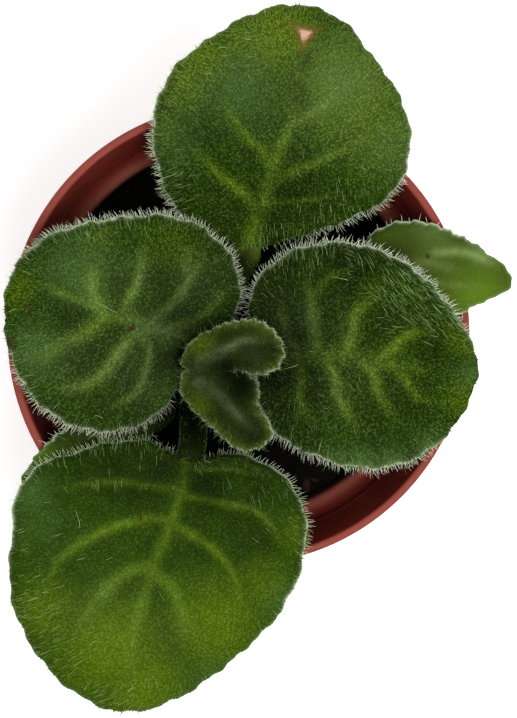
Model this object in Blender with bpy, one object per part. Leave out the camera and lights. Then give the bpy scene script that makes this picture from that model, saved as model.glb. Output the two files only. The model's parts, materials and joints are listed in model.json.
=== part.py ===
"""A primulina plant in a small round nursery pot, one closed solid for each piece.

The frame has +Z up and its origin on the pot's axis, at the middle of the flat base it stands on.
Seen from above, +Y points along the top leaf and +X along the right leaf. Sizes below are in
millimetres, and become metres where a mesh is made.
"""

import math
from dataclasses import dataclass

import bmesh
import bpy
from mathutils import Matrix, Vector

MM = 0.001
GAP = 0.3

POT_HEIGHT = 62.0
RIM_RADIUS = 35.0
LIP_WIDTH = 1.4
LIP_HEIGHT = 1.6
LIP_STAND = 0.5
LIP_ROUNDING = 0.35
COLLAR_DEPTH = 12.0
COLLAR_FOOT_RADIUS = 32.4
WALL = 1.0
STEP_DROP = 1.6
WALL_TOP_RADIUS = 30.0
BASE_RADIUS = 24.0
BASE_BEVEL = 0.8
BASE_THICKNESS = 1.4
POT_SIDES = 48

DRAIN_HOLES = 6
DRAIN_HOLE_RADIUS = 2.6
DRAIN_CIRCLE_RADIUS = 15.0
DRAIN_HOLE_SIDES = 12

SOIL_TOP = 46.0
SOIL_RINGS = 7
SOIL_SIDES = 40
SOIL_CLOD_HEIGHT = 0.7
SOIL_SWELL_HEIGHT = 0.5

CROWN = (-5.5, -5.3)
STEM_RADIUS = 3.2
STEM_FOOT = 30.0
STEM_TOP = 59.0
STEM_SIDES = 16

BLADE_THICKNESS = 0.8
RADII_STEP = math.radians(22.5)
SPOKE_LEAN = 1.7
PETIOLE_SIDES = 8
PETIOLE_BENDS = 6
PETIOLE_SET_OUT = 0.35
PETIOLE_RUN_IN = 0.3
UPRIGHT_RUN_IN = 0.12
MIDRIB_TAPER = ((0.3, 0.7), (0.45, 0.45), (0.6, 0.25))
MIDRIB_SINK = 0.88
MIDRIB_DEPTH_SHARE = 0.7
MIDRIB_LEAST_DEPTH = 0.8


@dataclass(frozen=True)
class Leaf:
    """One leaf. Places are (x, y) from above, and angles are in degrees anticlockwise.

    centre and heading give the blade's middle and the way from there to its tip. radii run from
    the middle to the margin, every 22.5 degrees from the tip round by the left side. base is
    where the petiole meets the blade. spine holds the midrib's heights at the base, one third,
    two thirds and the tip. camber lifts the margins above the midrib (or drops them), cup lifts
    only the lobes by the base, fold opens the blade in a V, and wave lifts and drops the margin.
    The petiole leaves the stem at root_height, on its side toward root_turn, or on its top at
    root_on_top from its axis. quilt is how far the blade stands up between its side veins. back
    is the way through the blade, from its top face.
    """

    name: str
    material: str
    centre: tuple
    heading: float
    radii: tuple
    base: tuple
    bow: float
    spine: tuple
    camber: float
    root_height: float
    petiole_width: float
    petiole_depth: float
    root_turn: float = 0.0
    root_on_top: tuple = None
    cup: float = 0.0
    fold: float = 0.0
    wave: float = 0.5
    wave_count: int = 5
    quilt: float = 0.7
    veins: int = 6
    stations_per_vein: int = 3
    rows: int = 4
    back: tuple = (0.0, 0.0, -1.0)


LEAVES = (
    Leaf(
        name="leaf_top",
        material="leaf_green",
        centre=(6.3, 31.1),
        heading=84.0,
        radii=(18.5, 17.5, 17.3, 18.5, 19.3, 19.5, 20, 20, 18.5, 16.2, 17, 19.2, 19, 18.2, 17.3, 18),
        base=(0.8, 12.8),
        bow=-2.2,
        spine=(65.4, 67.6, 67.8, 65.2),
        camber=-1.0,
        root_turn=68.0,
        root_height=52.6,
        petiole_width=3.8,
        petiole_depth=2.6,
        wave=0.7,
    ),
    Leaf(
        name="leaf_bottom",
        material="leaf_green",
        centre=(-12.5, -36.5),
        heading=-105.0,
        radii=(20.8, 18.8, 17, 17, 19, 22, 24.5, 23, 18.4, 21.2, 23, 24.8, 23.2, 22, 21.2, 21),
        base=(-7.9, -18.8),
        bow=-1.0,
        spine=(66.4, 68.0, 67.3, 64.4),
        camber=-0.8,
        root_turn=256.0,
        root_height=52.6,
        petiole_width=4.2,
        petiole_depth=2.8,
        wave=0.6,
    ),
    Leaf(
        name="leaf_left",
        material="leaf_green",
        centre=(-17.8, 1.9),
        heading=178.0,
        radii=(17.4, 17, 16.9, 16.5, 15.7, 14.4, 12.2, 9.4, 15.6, 18.7, 19, 17.6, 15.9, 15.9, 17.2, 18),
        base=(-9.3, -1.8),
        bow=-2.8,
        spine=(66.4, 69.2, 70.2, 68.4),
        camber=0.5,
        cup=1.4,
        root_turn=140.0,
        root_height=55.6,
        petiole_width=3.4,
        petiole_depth=2.4,
    ),
    Leaf(
        name="leaf_right",
        material="leaf_green",
        centre=(18.4, -2.8),
        heading=-4.0,
        radii=(16.7, 15, 14.4, 14.9, 16, 17.7, 19.3, 19.2, 15.6, 17.2, 17.6, 16.7, 16.6, 16.9, 17, 16.7),
        base=(4.4, -3.9),
        bow=0.4,
        spine=(67.4, 69.2, 69.9, 68.0),
        camber=0.5,
        cup=1.0,
        root_turn=8.0,
        root_height=55.6,
        petiole_width=3.4,
        petiole_depth=2.4,
    ),
    Leaf(
        name="leaf_far_right",
        material="old_leaf_green",
        centre=(28.7, 9.2),
        heading=-5.5,
        radii=(12.7, 9.5, 7.8, 7.1, 7.4, 8.3, 9.7, 11, 12.6, 12, 10.3, 9, 8, 7.6, 7.6, 9),
        base=(15.8, 7.8),
        bow=0.6,
        spine=(61.6, 63.6, 64.0, 61.8),
        camber=0.4,
        root_turn=33.0,
        root_height=48.8,
        petiole_width=3.6,
        petiole_depth=2.2,
        wave=0.2,
        quilt=0.3,
        stations_per_vein=2,
    ),
    Leaf(
        name="leaf_low_left",
        material="old_leaf_green",
        centre=(-23.4, -18.5),
        heading=-155.0,
        radii=(11.2, 9.3, 8, 7.6, 7.4, 7.7, 8.6, 9.7, 11, 8.6, 6.6, 5.6, 5.3, 5.5, 6.3, 8.2),
        base=(-13.4, -13.3),
        bow=-0.5,
        spine=(61.2, 63.4, 63.9, 62.6),
        camber=0.2,
        root_turn=214.0,
        root_height=48.8,
        petiole_width=3.6,
        petiole_depth=2.2,
        wave=0.2,
        quilt=0.3,
        stations_per_vein=2,
    ),
    Leaf(
        name="leaf_young_upper",
        material="young_leaf_green",
        centre=(-0.5, -1.2),
        heading=-4.0,
        radii=(6.6, 5.8, 4.9, 4.4, 4, 3.8, 3.9, 4.6, 6.4, 6.8, 5.4, 4, 3.5, 3.7, 5, 6.3),
        base=(-6.0, -3.6),
        bow=1.6,
        spine=(68.2, 71.2, 73.6, 74.6),
        camber=0.0,
        root_height=STEM_TOP,
        petiole_width=2.2,
        petiole_depth=1.8,
        fold=0.55,
        wave=0.2,
        wave_count=3,
        quilt=0.2,
        veins=4,
        rows=3,
        root_on_top=(0.7, 1.3),
        back=(0.35, -0.1, -1.0),
    ),
    Leaf(
        name="leaf_young_lower",
        material="young_leaf_green",
        centre=(-2.2, -10.8),
        heading=-49.0,
        radii=(7.2, 7, 5.4, 4.8, 6, 5.6, 5.2, 5.6, 6.4, 6.6, 5.2, 3.9, 3.5, 3.6, 4.4, 6),
        base=(-6.4, -6.9),
        bow=1.2,
        spine=(67.6, 70.2, 72.2, 72.8),
        camber=0.0,
        root_height=STEM_TOP,
        petiole_width=2.2,
        petiole_depth=1.8,
        fold=0.55,
        wave=0.2,
        wave_count=3,
        quilt=0.2,
        veins=4,
        rows=3,
        root_on_top=(-0.7, -1.3),
        back=(0.2, 0.25, -1.0),
    ),
)

COLOURS = {
    "pot_plastic": ((0.26, 0.075, 0.055, 1.0), 0.45),
    "potting_mix": ((0.012, 0.010, 0.009, 1.0), 0.95),
    "stem_green": ((0.10, 0.15, 0.04, 1.0), 0.6),
    "leaf_green": ((0.035, 0.105, 0.014, 1.0), 0.6),
    "old_leaf_green": ((0.07, 0.16, 0.02, 1.0), 0.6),
    "young_leaf_green": ((0.045, 0.12, 0.02, 1.0), 0.6),
}


def clear_scene():
    for obj in list(bpy.data.objects):
        bpy.data.objects.remove(obj)


def material(name):
    """The plain colour and roughness of one of the plant's finishes."""
    found = bpy.data.materials.get(name)
    if found:
        return found
    made = bpy.data.materials.new(name)
    made.use_nodes = True
    shader = made.node_tree.nodes["Principled BSDF"]
    colour, roughness = COLOURS[name]
    shader.inputs["Base Color"].default_value = colour
    shader.inputs["Roughness"].default_value = roughness
    shader.inputs["Metallic"].default_value = 0.0
    return made


def add_object(name, bm, material_name):
    """An object from a bmesh in millimetres, with its faces turned out and shaded smooth."""
    bmesh.ops.recalc_face_normals(bm, faces=bm.faces)
    bmesh.ops.scale(bm, vec=(MM, MM, MM), verts=bm.verts)
    mesh = bpy.data.meshes.new(name)
    bm.to_mesh(mesh)
    bm.free()
    mesh.materials.append(material(material_name))
    mesh.shade_smooth()
    mesh.set_sharp_from_angle(angle=math.radians(50))
    obj = bpy.data.objects.new(name, mesh)
    bpy.context.scene.collection.objects.link(obj)
    return obj


def add_boolean(obj, helper, operation):
    """Joins or cuts obj by a helper object, which itself isn't part of the model."""
    helper.hide_render = True
    helper.display_type = "WIRE"
    modifier = obj.modifiers.new(helper.name, "BOOLEAN")
    modifier.operation = operation
    modifier.solver = "EXACT"
    modifier.object = helper


def turned(profile, sides):
    """A solid of revolution from a profile of (radius, height) that starts and ends on the axis."""
    bm = bmesh.new()
    points = [bm.verts.new((radius, 0.0, height)) for radius, height in profile]
    edges = [bm.edges.new(pair) for pair in zip(points, points[1:])]
    bmesh.ops.spin(
        bm, geom=points + edges, cent=(0, 0, 0), axis=(0, 0, 1), steps=sides, angle=math.tau
    )
    bmesh.ops.remove_doubles(bm, verts=bm.verts, dist=0.001)
    return bm


def pot_wall_radius(height):
    """The pot's outer radius at a height below the collar."""
    share = height / (POT_HEIGHT - COLLAR_DEPTH - STEP_DROP)
    return BASE_RADIUS + (WALL_TOP_RADIUS - BASE_RADIUS) * share


def pot_profile():
    """Up the outside from the base, over the lip, and down the inside past the step."""
    collar_foot = POT_HEIGHT - COLLAR_DEPTH
    step_foot = collar_foot - STEP_DROP
    lip_foot = POT_HEIGHT - LIP_HEIGHT
    lip_inner = RIM_RADIUS - LIP_WIDTH
    edge = LIP_ROUNDING
    return [
        (0.0, 0.0),
        (BASE_RADIUS - BASE_BEVEL, 0.0),
        (BASE_RADIUS, BASE_BEVEL),
        (WALL_TOP_RADIUS, step_foot),
        (COLLAR_FOOT_RADIUS, collar_foot - STEP_DROP / 2),
        (COLLAR_FOOT_RADIUS, collar_foot),
        (RIM_RADIUS - LIP_STAND, lip_foot - LIP_STAND),
        (RIM_RADIUS, lip_foot),
        (RIM_RADIUS, POT_HEIGHT - edge),
        (RIM_RADIUS - edge, POT_HEIGHT),
        (lip_inner + edge, POT_HEIGHT),
        (lip_inner, POT_HEIGHT - edge),
        (COLLAR_FOOT_RADIUS - WALL, collar_foot + edge),
        (WALL_TOP_RADIUS - WALL, step_foot),
        (BASE_RADIUS - WALL, BASE_THICKNESS),
        (0.0, BASE_THICKNESS),
    ]


def drain_hole_cutter():
    bm = bmesh.new()
    for number in range(DRAIN_HOLES):
        turn = math.tau * (number + 0.5) / DRAIN_HOLES
        place = Vector((math.cos(turn), math.sin(turn), 0.0)) * DRAIN_CIRCLE_RADIUS
        bmesh.ops.create_cone(
            bm,
            cap_ends=True,
            segments=DRAIN_HOLE_SIDES,
            radius1=DRAIN_HOLE_RADIUS,
            radius2=DRAIN_HOLE_RADIUS,
            depth=BASE_THICKNESS * 3,
            matrix=Matrix.Translation(place),
        )
    return add_object("drain_hole_cutter", bm, "pot_plastic")


def make_pot():
    pot = add_object("pot", turned(pot_profile(), POT_SIDES), "pot_plastic")
    add_boolean(pot, drain_hole_cutter(), "DIFFERENCE")


def soil_height(x, y):
    """The loose, uneven top of the potting mix: a slow swell with smaller clods on it."""
    swell = math.sin(0.13 * x + 0.6) * math.cos(0.11 * y)
    clods = math.sin(0.9 * x + 1.3 * math.sin(0.5 * y)) * math.cos(0.8 * y + 0.7)
    return SOIL_TOP + SOIL_SWELL_HEIGHT * swell + SOIL_CLOD_HEIGHT * clods


def make_potting_mix():
    """The potting mix fills the pot to below its step, with a plain hole for the stem."""
    foot = BASE_THICKNESS + GAP
    wall_in = WALL + GAP
    foot_radius = pot_wall_radius(foot) - wall_in
    top_radius = pot_wall_radius(SOIL_TOP) - wall_in
    rings = [top_radius * (1.0 - ring / SOIL_RINGS) for ring in range(SOIL_RINGS)]
    top = [(radius, SOIL_TOP) for radius in rings] + [(0.0, SOIL_TOP)]
    bm = turned([(0.0, foot), (foot_radius, foot)] + top, SOIL_SIDES)
    rim_height = SOIL_TOP - SOIL_CLOD_HEIGHT
    for vert in bm.verts:
        if vert.co.z < SOIL_TOP - 0.01:
            continue
        if vert.co.xy.length > top_radius - 0.01:
            vert.co.z = rim_height
        else:
            vert.co.z = soil_height(vert.co.x, vert.co.y)
    soil = add_object("potting_mix", bm, "potting_mix")

    hole = bmesh.new()
    depth = POT_HEIGHT - STEM_FOOT + GAP
    bmesh.ops.create_cone(
        hole,
        cap_ends=True,
        segments=STEM_SIDES,
        radius1=STEM_RADIUS + GAP,
        radius2=STEM_RADIUS + GAP,
        depth=depth,
        matrix=Matrix.Translation((*CROWN, POT_HEIGHT - depth / 2)),
    )
    add_boolean(soil, add_object("stem_hole_cutter", hole, "potting_mix"), "DIFFERENCE")


def make_stem():
    """The short stem between the petioles, with a low dome on top."""
    neck = STEM_TOP - 2.0
    profile = [
        (0.0, STEM_FOOT),
        (STEM_RADIUS * 0.8, STEM_FOOT),
        (STEM_RADIUS, STEM_FOOT + 1.5),
        (STEM_RADIUS, neck),
        (STEM_RADIUS * 0.85, neck + 1.2),
        (STEM_RADIUS * 0.4, STEM_TOP),
        (0.0, STEM_TOP),
    ]
    bm = turned(profile, STEM_SIDES)
    bmesh.ops.translate(bm, vec=(*CROWN, 0.0), verts=bm.verts)
    add_object("stem", bm, "stem_green")


def radius_at(leaf, turn):
    """The blade's radius at an angle from its tip, on a smooth curve through the leaf's radii."""
    count = len(leaf.radii)
    place = (turn / RADII_STEP) % count
    first = int(place)
    share = place - first
    before, start, end, after = (leaf.radii[(first + k) % count] for k in (-1, 0, 1, 2))
    linear = end - before
    square = 2 * before - 5 * start + 4 * end - after
    cube = 3 * start - before - 3 * end + after
    return start + 0.5 * share * (linear + share * (square + share * cube))


def margin_point(leaf, turn):
    angle = math.radians(leaf.heading) + turn
    return Vector(leaf.centre) + radius_at(leaf, turn) * Vector((math.cos(angle), math.sin(angle)))


def midrib_point(leaf, share):
    """The midrib from above: an arc-like curve from the base to the tip, bowed to its left."""
    base = Vector(leaf.base)
    tip = margin_point(leaf, 0.0)
    along = tip - base
    left = Vector((-along.y, along.x)).normalized()
    return base + along * share + left * leaf.bow * 4.0 * share * (1.0 - share)


def base_turn(leaf):
    """The angle from the tip to the base, seen from the blade's middle, going by the left."""
    to_base = Vector(leaf.base) - Vector(leaf.centre)
    turn = math.atan2(to_base.y, to_base.x) - math.radians(leaf.heading)
    return turn % math.tau


def spine_height(leaf, share):
    """The midrib's height, on the cubic through the four heights of leaf.spine."""
    share = min(max(share, 0.0), 1.0)
    knots = (0.0, 1 / 3, 2 / 3, 1.0)
    height = 0.0
    for k, value in enumerate(leaf.spine):
        weight = 1.0
        for j, knot in enumerate(knots):
            if j != k:
                weight *= (share - knot) / (knots[k] - knot)
        height += weight * value
    return height


def blade_point(leaf, side, station, row):
    """A point on the blade's top face.

    side is 1 on the left of the midrib and -1 on the right. station runs from 0 at the base to 1
    at the tip, and row from 0 on the midrib to 1 on the margin. Each spoke from the midrib leans
    toward the tip, as the side veins do.
    """
    from_base = base_turn(leaf) if side > 0 else base_turn(leaf) - math.tau
    turn = from_base * (1.0 - station)
    inner = midrib_point(leaf, station**SPOKE_LEAN)
    outer = margin_point(leaf, turn) if station > 0 else Vector(leaf.base)
    flat = inner.lerp(outer, row)

    base = Vector(leaf.base)
    along = margin_point(leaf, 0.0) - base
    share = (flat - base).dot(along) / along.length_squared
    reach = (outer - inner).length
    height = spine_height(leaf, share)
    height += (leaf.camber + leaf.cup * (1.0 - station) ** 2) * row**2
    height += leaf.fold * row * reach
    height += leaf.wave * row**3 * math.sin(leaf.wave_count * turn + leaf.heading)
    between_veins = math.sin(math.pi * leaf.veins * station) ** 2
    height += leaf.quilt * between_veins * math.sin(math.pi * row) * min(1.0, reach / 6.0)
    return Vector((flat.x, flat.y, height))


def blade_grids(bm, leaf, offset):
    """The vertices of one face of the blade: for each side, a line from midrib to margin at each
    station. Both sides share the midrib, and the lines at the base and the tip are one vertex."""
    stations = leaf.veins * leaf.stations_per_vein
    spine = [blade_point(leaf, 1, i / stations, 0) for i in range(stations + 1)]
    midrib = [bm.verts.new(point + offset) for point in spine]
    grids = {}
    for side in (1, -1):
        lines = [[midrib[0]] * (leaf.rows + 1)]
        for i in range(1, stations):
            line = [midrib[i]]
            for j in range(1, leaf.rows + 1):
                point = blade_point(leaf, side, i / stations, j / leaf.rows)
                line.append(bm.verts.new(point + offset))
            lines.append(line)
        lines.append([midrib[-1]] * (leaf.rows + 1))
        grids[side] = lines
    return grids


def fill_grid(bm, lines):
    """Triangles between a grid's lines, always split the same way."""
    for line, beyond in zip(lines, lines[1:]):
        for j in range(len(line) - 1):
            for corners in (
                (line[j], beyond[j], beyond[j + 1]),
                (line[j], beyond[j + 1], line[j + 1]),
            ):
                if len(set(corners)) == 3:
                    bm.faces.new(corners)


def blade_mesh(leaf):
    """The blade: a top face, the same face moved back through the leaf, and the margin between."""
    bm = bmesh.new()
    top = blade_grids(bm, leaf, Vector())
    bottom = blade_grids(bm, leaf, Vector(leaf.back).normalized() * BLADE_THICKNESS)
    for side in (1, -1):
        fill_grid(bm, top[side])
        fill_grid(bm, bottom[side])
        upper = [line[-1] for line in top[side]]
        lower = [line[-1] for line in bottom[side]]
        for i in range(len(upper) - 1):
            bm.faces.new((upper[i], upper[i + 1], lower[i + 1]))
            bm.faces.new((upper[i], lower[i + 1], lower[i]))
    return bm


def petiole_root(leaf):
    """Where the petiole starts, a gap clear of the stem, and the way it sets out from there."""
    crown = Vector((*CROWN, 0.0))
    if leaf.root_on_top:
        return crown + Vector((*leaf.root_on_top, leaf.root_height + GAP)), Vector((0.0, 0.0, 1.0))
    turn = math.radians(leaf.root_turn)
    outward = Vector((math.cos(turn), math.sin(turn), 0.0))
    root = crown + outward * (STEM_RADIUS + GAP)
    root.z = leaf.root_height
    return root, outward


def petiole_path(leaf):
    """Points and half sizes along the petiole, from the stem to under the blade's midrib."""
    base = blade_point(leaf, 1, 0.0, 0.0)
    root, rise = petiole_root(leaf)
    ahead = blade_point(leaf, 1, 0.2, 0.0) - base
    reach = (base - root).length
    run_in = UPRIGHT_RUN_IN if leaf.root_on_top else PETIOLE_RUN_IN
    first = root + rise * reach * PETIOLE_SET_OUT
    last = base - ahead.normalized() * reach * run_in
    middle = Vector((0.0, 0.0, -BLADE_THICKNESS / 2))
    sunk = Vector((0.0, 0.0, -MIDRIB_SINK))

    path = []
    for k in range(PETIOLE_BENDS + 1):
        t = k / PETIOLE_BENDS
        s = 1.0 - t
        point = root * s**3 + first * 3 * s**2 * t + last * 3 * s * t**2 + (base + middle) * t**3
        path.append((point, leaf.petiole_width / 2, leaf.petiole_depth / 2))
    for station, size in MIDRIB_TAPER:
        point = blade_point(leaf, 1, station, 0.0) + sunk
        half_width = leaf.petiole_width / 2 * size
        half_depth = max(half_width * MIDRIB_DEPTH_SHARE, MIDRIB_LEAST_DEPTH / 2)
        path.append((point, half_width, half_depth))
    return path


def petiole_mesh(leaf):
    """A tube with an oval section along the petiole's path, closed at both ends."""
    path = petiole_path(leaf)
    bm = bmesh.new()
    rings = []
    for k, (point, half_width, half_depth) in enumerate(path):
        ahead = path[min(k + 1, len(path) - 1)][0] - path[max(k - 1, 0)][0]
        if k == 0:
            ahead = petiole_root(leaf)[1]
        across = Vector((-ahead.y, ahead.x, 0.0))
        if across.length < 0.1:
            across = Vector((1.0, 0.0, 0.0))
        across.normalize()
        through = across.cross(ahead).normalized()
        ring = []
        for n in range(PETIOLE_SIDES):
            turn = math.tau * (n + 0.5) / PETIOLE_SIDES
            offset = across * math.cos(turn) * half_width + through * math.sin(turn) * half_depth
            ring.append(bm.verts.new(point + offset))
        rings.append(ring)
    for ring, beyond in zip(rings, rings[1:]):
        for n in range(PETIOLE_SIDES):
            m = (n + 1) % PETIOLE_SIDES
            bm.faces.new((ring[n], ring[m], beyond[m], beyond[n]))
    bm.faces.new(rings[0])
    bm.faces.new(rings[-1])
    return bm


def make_leaf(leaf):
    blade = add_object(leaf.name, blade_mesh(leaf), leaf.material)
    petiole = add_object(leaf.name + "_petiole", petiole_mesh(leaf), leaf.material)
    add_boolean(blade, petiole, "UNION")


def main():
    clear_scene()
    make_pot()
    make_potting_mix()
    make_stem()
    for leaf in LEAVES:
        make_leaf(leaf)


main()
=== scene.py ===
"""A small potted primulina: quilted, hairy leaves over peaty mix in a reddish-brown nursery pot.

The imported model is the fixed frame. Sizes in the tables and the mesh code are in millimetres, in
the frame's own axes, and become metres where a mesh is made. Settings hold metres, as Blender does.
"""

import json
import math
from dataclasses import dataclass, field, replace
from itertools import combinations

import bpy
import numpy as np
from mathutils import Matrix, Vector

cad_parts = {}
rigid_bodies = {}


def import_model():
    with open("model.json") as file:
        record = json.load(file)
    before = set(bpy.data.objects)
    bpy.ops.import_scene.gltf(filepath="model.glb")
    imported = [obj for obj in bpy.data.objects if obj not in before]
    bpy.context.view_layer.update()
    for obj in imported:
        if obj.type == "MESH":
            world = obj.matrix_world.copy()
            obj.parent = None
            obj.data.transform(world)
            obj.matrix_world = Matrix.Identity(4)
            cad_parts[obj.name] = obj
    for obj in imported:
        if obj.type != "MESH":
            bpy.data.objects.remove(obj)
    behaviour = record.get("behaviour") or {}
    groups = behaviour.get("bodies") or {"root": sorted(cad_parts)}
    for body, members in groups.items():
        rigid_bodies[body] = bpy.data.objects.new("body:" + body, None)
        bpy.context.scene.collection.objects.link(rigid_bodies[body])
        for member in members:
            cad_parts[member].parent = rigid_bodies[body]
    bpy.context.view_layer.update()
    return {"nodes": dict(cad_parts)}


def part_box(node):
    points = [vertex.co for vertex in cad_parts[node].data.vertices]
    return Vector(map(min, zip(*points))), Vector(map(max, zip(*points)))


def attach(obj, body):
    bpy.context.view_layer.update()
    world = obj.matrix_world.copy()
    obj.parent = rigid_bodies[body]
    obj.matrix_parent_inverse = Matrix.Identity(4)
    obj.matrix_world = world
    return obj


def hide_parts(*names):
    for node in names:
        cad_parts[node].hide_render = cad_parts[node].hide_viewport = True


bl_info = {
    "name": "Potted primulina",
    "version": (1, 0, 0),
    "blender": (4, 5, 0),
    "location": "3D View > Sidebar > Primulina",
    "description": "Builds the leaves, hairs, potting mix and pot of a small primulina",
    "category": "Add Mesh",
}

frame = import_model()
POT_LOW, POT_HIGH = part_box("pot")
MIX_LOW, MIX_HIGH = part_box("potting_mix")

MM = 0.001
ROOT = "root"
UP = np.array([0.0, 0.0, 1.0])
WHITE = (1.0, 1.0, 1.0)

# The view: the photograph's size, the rim in its pixels and the place it is centred on. The key
# light's place and size, and the floor's size, are in metres.
IMAGE_SIZE = (517, 718)
SENSOR = 36.0
RIM_RADIUS = 35.0
RIM_PIXELS = 231.4
VIEW_CENTRE = (2.86, -3.66)
VIEW_TURN = 135.0
KEY_PLACE = (0.13, -0.13, 0.74)
KEY_SIZE = 0.36
FLOOR_SIZE = 4.0

# The plant. CROWN is where its stem stands, from above.
CROWN = (-5.5, -5.3)
# How far the painted shade deep in the crown reaches.
CROWN_SHADE_REACH = 16.0
STEM_RADIUS = 3.2
STEM_TOP = 59.0
GAP = 0.3
RADII_STEP = math.radians(22.5)
SPOKE_LEAN = 1.7
MARGIN_CROWDING = 1.35
MARGIN_ROUNDING = 0.12
PETIOLE_SIDES = 28
PETIOLE_SET_OUT = 0.35
PETIOLE_RUN_IN = 0.3
UPRIGHT_RUN_IN = 0.12
PETIOLE_STEPS = 46
RIB_START = 0.03
RIB_END = 0.62
RIB_STEPS = 20
HAIR_SINK = 0.05
HAIR_TIPWARD = 0.35
MARGIN_STEPS = 200
DARKEST = 0.97

# How far things reach on a blade: a vein's hold on the skin, the margin's curl, pale band and
# light edge, and the long hairs beside it. Then its broad and fine bumps: cell and height.
VEIN_REACH = 2.1
CURL_REACH = 0.7
BAND_REACH = 1.3
EDGE_REACH = 0.16
HAIRY_REACH = 1.8
BROAD_CELL, BROAD_BUMP = 3.1, 0.16
FINE_CELL, FINE_BUMP = 1.1, 0.06

# The pot's radii from its foot up, its other fixed sizes, and its drain holes: how many, the
# radius of their circle and the length of what cuts them, both in metres, and their sides.
BASE_RADIUS = 24.0
BASE_THICKNESS = 1.4
WALL_RADIUS = 30.0
STEP_DROP = 1.6
COLLAR_RADIUS = 32.4
COLLAR_INNER_RADIUS = 31.4
COLLAR_TOP_RADIUS = 34.5
LINE_DEPTH = 9.5
POT_SIDES = 192
DRAIN_HOLES = 6
DRAIN_CIRCLE = 0.015
CUTTER_LENGTH = 0.006
CUTTER_SIDES = 40

# The mix's heights, foot and grid, how far out its crumbs lie and the seed of their places, and
# the paler chips on it: x, y, size and paleness.
MIX_TOP = 46.0
MIX_CREST = 47.3
MIX_EDGE = 45.2
MIX_FOOT_RADIUS = 22.9
MIX_GRID = (84, 260)
CRUMB_REACH = 0.97
CRUMB_SEED = 211
CHIPS = ((11.3, -24.2, 1.3, 1.0), (12.6, -23.6, 0.7, 0.9), (-14.1, -16.1, 1.0, 0.55),
         (-19.5, 14.0, 0.6, 0.3))


def colour(code):
    """Linear red, green and blue from a six-digit web colour."""
    shares = [int(code[k : k + 2], 16) / 255 for k in (0, 2, 4)]
    return tuple(s / 12.92 if s <= 0.04045 else ((s + 0.055) / 1.055) ** 2.4 for s in shares)


@dataclass(frozen=True)
class Spot:
    """A soft round area on a blade, at (x, y) from above."""

    place: tuple
    radius: float
    strength: float = 1.0


@dataclass(frozen=True)
class Comb(Spot):
    """An area of long hairs that all lean one way, in degrees."""

    heading: float = 0.0


@dataclass(frozen=True)
class Vein:
    """A vein's half width, how clearly it shows and its route from above, from the midrib out."""

    width: float
    strength: float
    route: tuple


def spots(*rows):
    """Spots, each from its x, y, radius and strength."""
    return tuple(Spot(row[:2], *row[2:]) for row in rows)


def combs(*rows):
    """Combed areas, each from its x, y, radius, strength and heading."""
    return tuple(Comb(row[:2], *row[2:]) for row in rows)


def veins(*rows):
    """Veins, each from its half width, its strength and the places on its route."""
    return tuple(Vein(*row[:2], row[2:]) for row in rows)


@dataclass(frozen=True)
class Leaf:
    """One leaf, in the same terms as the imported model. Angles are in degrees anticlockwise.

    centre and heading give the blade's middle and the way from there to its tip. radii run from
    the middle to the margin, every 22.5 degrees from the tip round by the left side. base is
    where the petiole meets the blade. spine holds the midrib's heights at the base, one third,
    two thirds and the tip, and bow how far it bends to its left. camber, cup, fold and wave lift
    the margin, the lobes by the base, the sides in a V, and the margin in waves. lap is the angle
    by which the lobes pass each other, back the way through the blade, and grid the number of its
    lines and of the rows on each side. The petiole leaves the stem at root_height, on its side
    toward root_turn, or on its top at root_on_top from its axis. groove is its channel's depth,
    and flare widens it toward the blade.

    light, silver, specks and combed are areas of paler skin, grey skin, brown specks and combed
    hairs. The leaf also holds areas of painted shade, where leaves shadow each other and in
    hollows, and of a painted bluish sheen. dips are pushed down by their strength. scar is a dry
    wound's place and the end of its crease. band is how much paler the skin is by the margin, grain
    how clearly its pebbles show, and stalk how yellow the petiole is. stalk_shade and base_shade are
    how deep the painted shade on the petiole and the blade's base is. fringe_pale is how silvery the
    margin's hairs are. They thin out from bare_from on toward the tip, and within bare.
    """

    name: str
    slot: str
    seed: int
    centre: tuple
    heading: float
    radii: tuple
    base: tuple
    bow: float
    spine: tuple
    camber: float
    root_height: float
    petiole_width: float
    petiole_depth: float
    veins: tuple
    lap: float = 0.0
    root_turn: float = 0.0
    root_on_top: tuple = None
    cup: float = 0.0
    fold: float = 0.0
    wave: float = 0.5
    wave_count: int = 5
    quilt: float = 1.0
    back: tuple = (0.0, 0.0, -1.0)
    grid: tuple = (150, 44)
    groove: float = 0.5
    hairs: float = 1.0
    margin_hairs: float = 1.0
    margin_length: float = 1.0
    fringe_pale: float = 0.9
    bare_from: float = 0.68
    bare: tuple = ()
    dips: tuple = ()
    band: float = 0.0
    stalk: float = 0.5
    stalk_shade: float = 0.75
    flare: float = 0.0
    base_shade: float = 0.3
    grain: float = 1.0
    light: tuple = ()
    # Painted shade: darker where leaves shadow each other and in hollows.
    dark: tuple = ()
    # Painted bluish sheen, on slopes that face the bright surroundings.
    bloom: tuple = ()
    silver: tuple = ()
    combed: tuple = ()
    specks: tuple = ()
    scar: tuple = ()
    strays: int = 3


# What the two leaves of each pair have in common.
OUTER_PAIR = dict(slot="leaf_green", root_height=52.6)
INNER_PAIR = dict(
    slot="leaf_green", camber=0.5, root_height=55.6, petiole_width=3.4, petiole_depth=2.4, stalk=0.0,
)
OLD_PAIR = dict(
    slot="old_leaf_green", root_height=48.8, petiole_width=3.6, petiole_depth=2.2, wave=0.2, quilt=0.45,
    groove=0.3, strays=0,
)
YOUNG_PAIR = dict(
    slot="young_leaf_green", camber=0.0, root_height=STEM_TOP, petiole_width=2.2, petiole_depth=1.8,
    lap=0.06, fold=0.55, wave=0.2, wave_count=3, quilt=0.4, grid=(84, 26), groove=0.2, hairs=0.6,
    margin_length=0.3, fringe_pale=0.6, bare_from=2.0, band=0.6, stalk=0.2, base_shade=0.1, strays=0,
)

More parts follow.
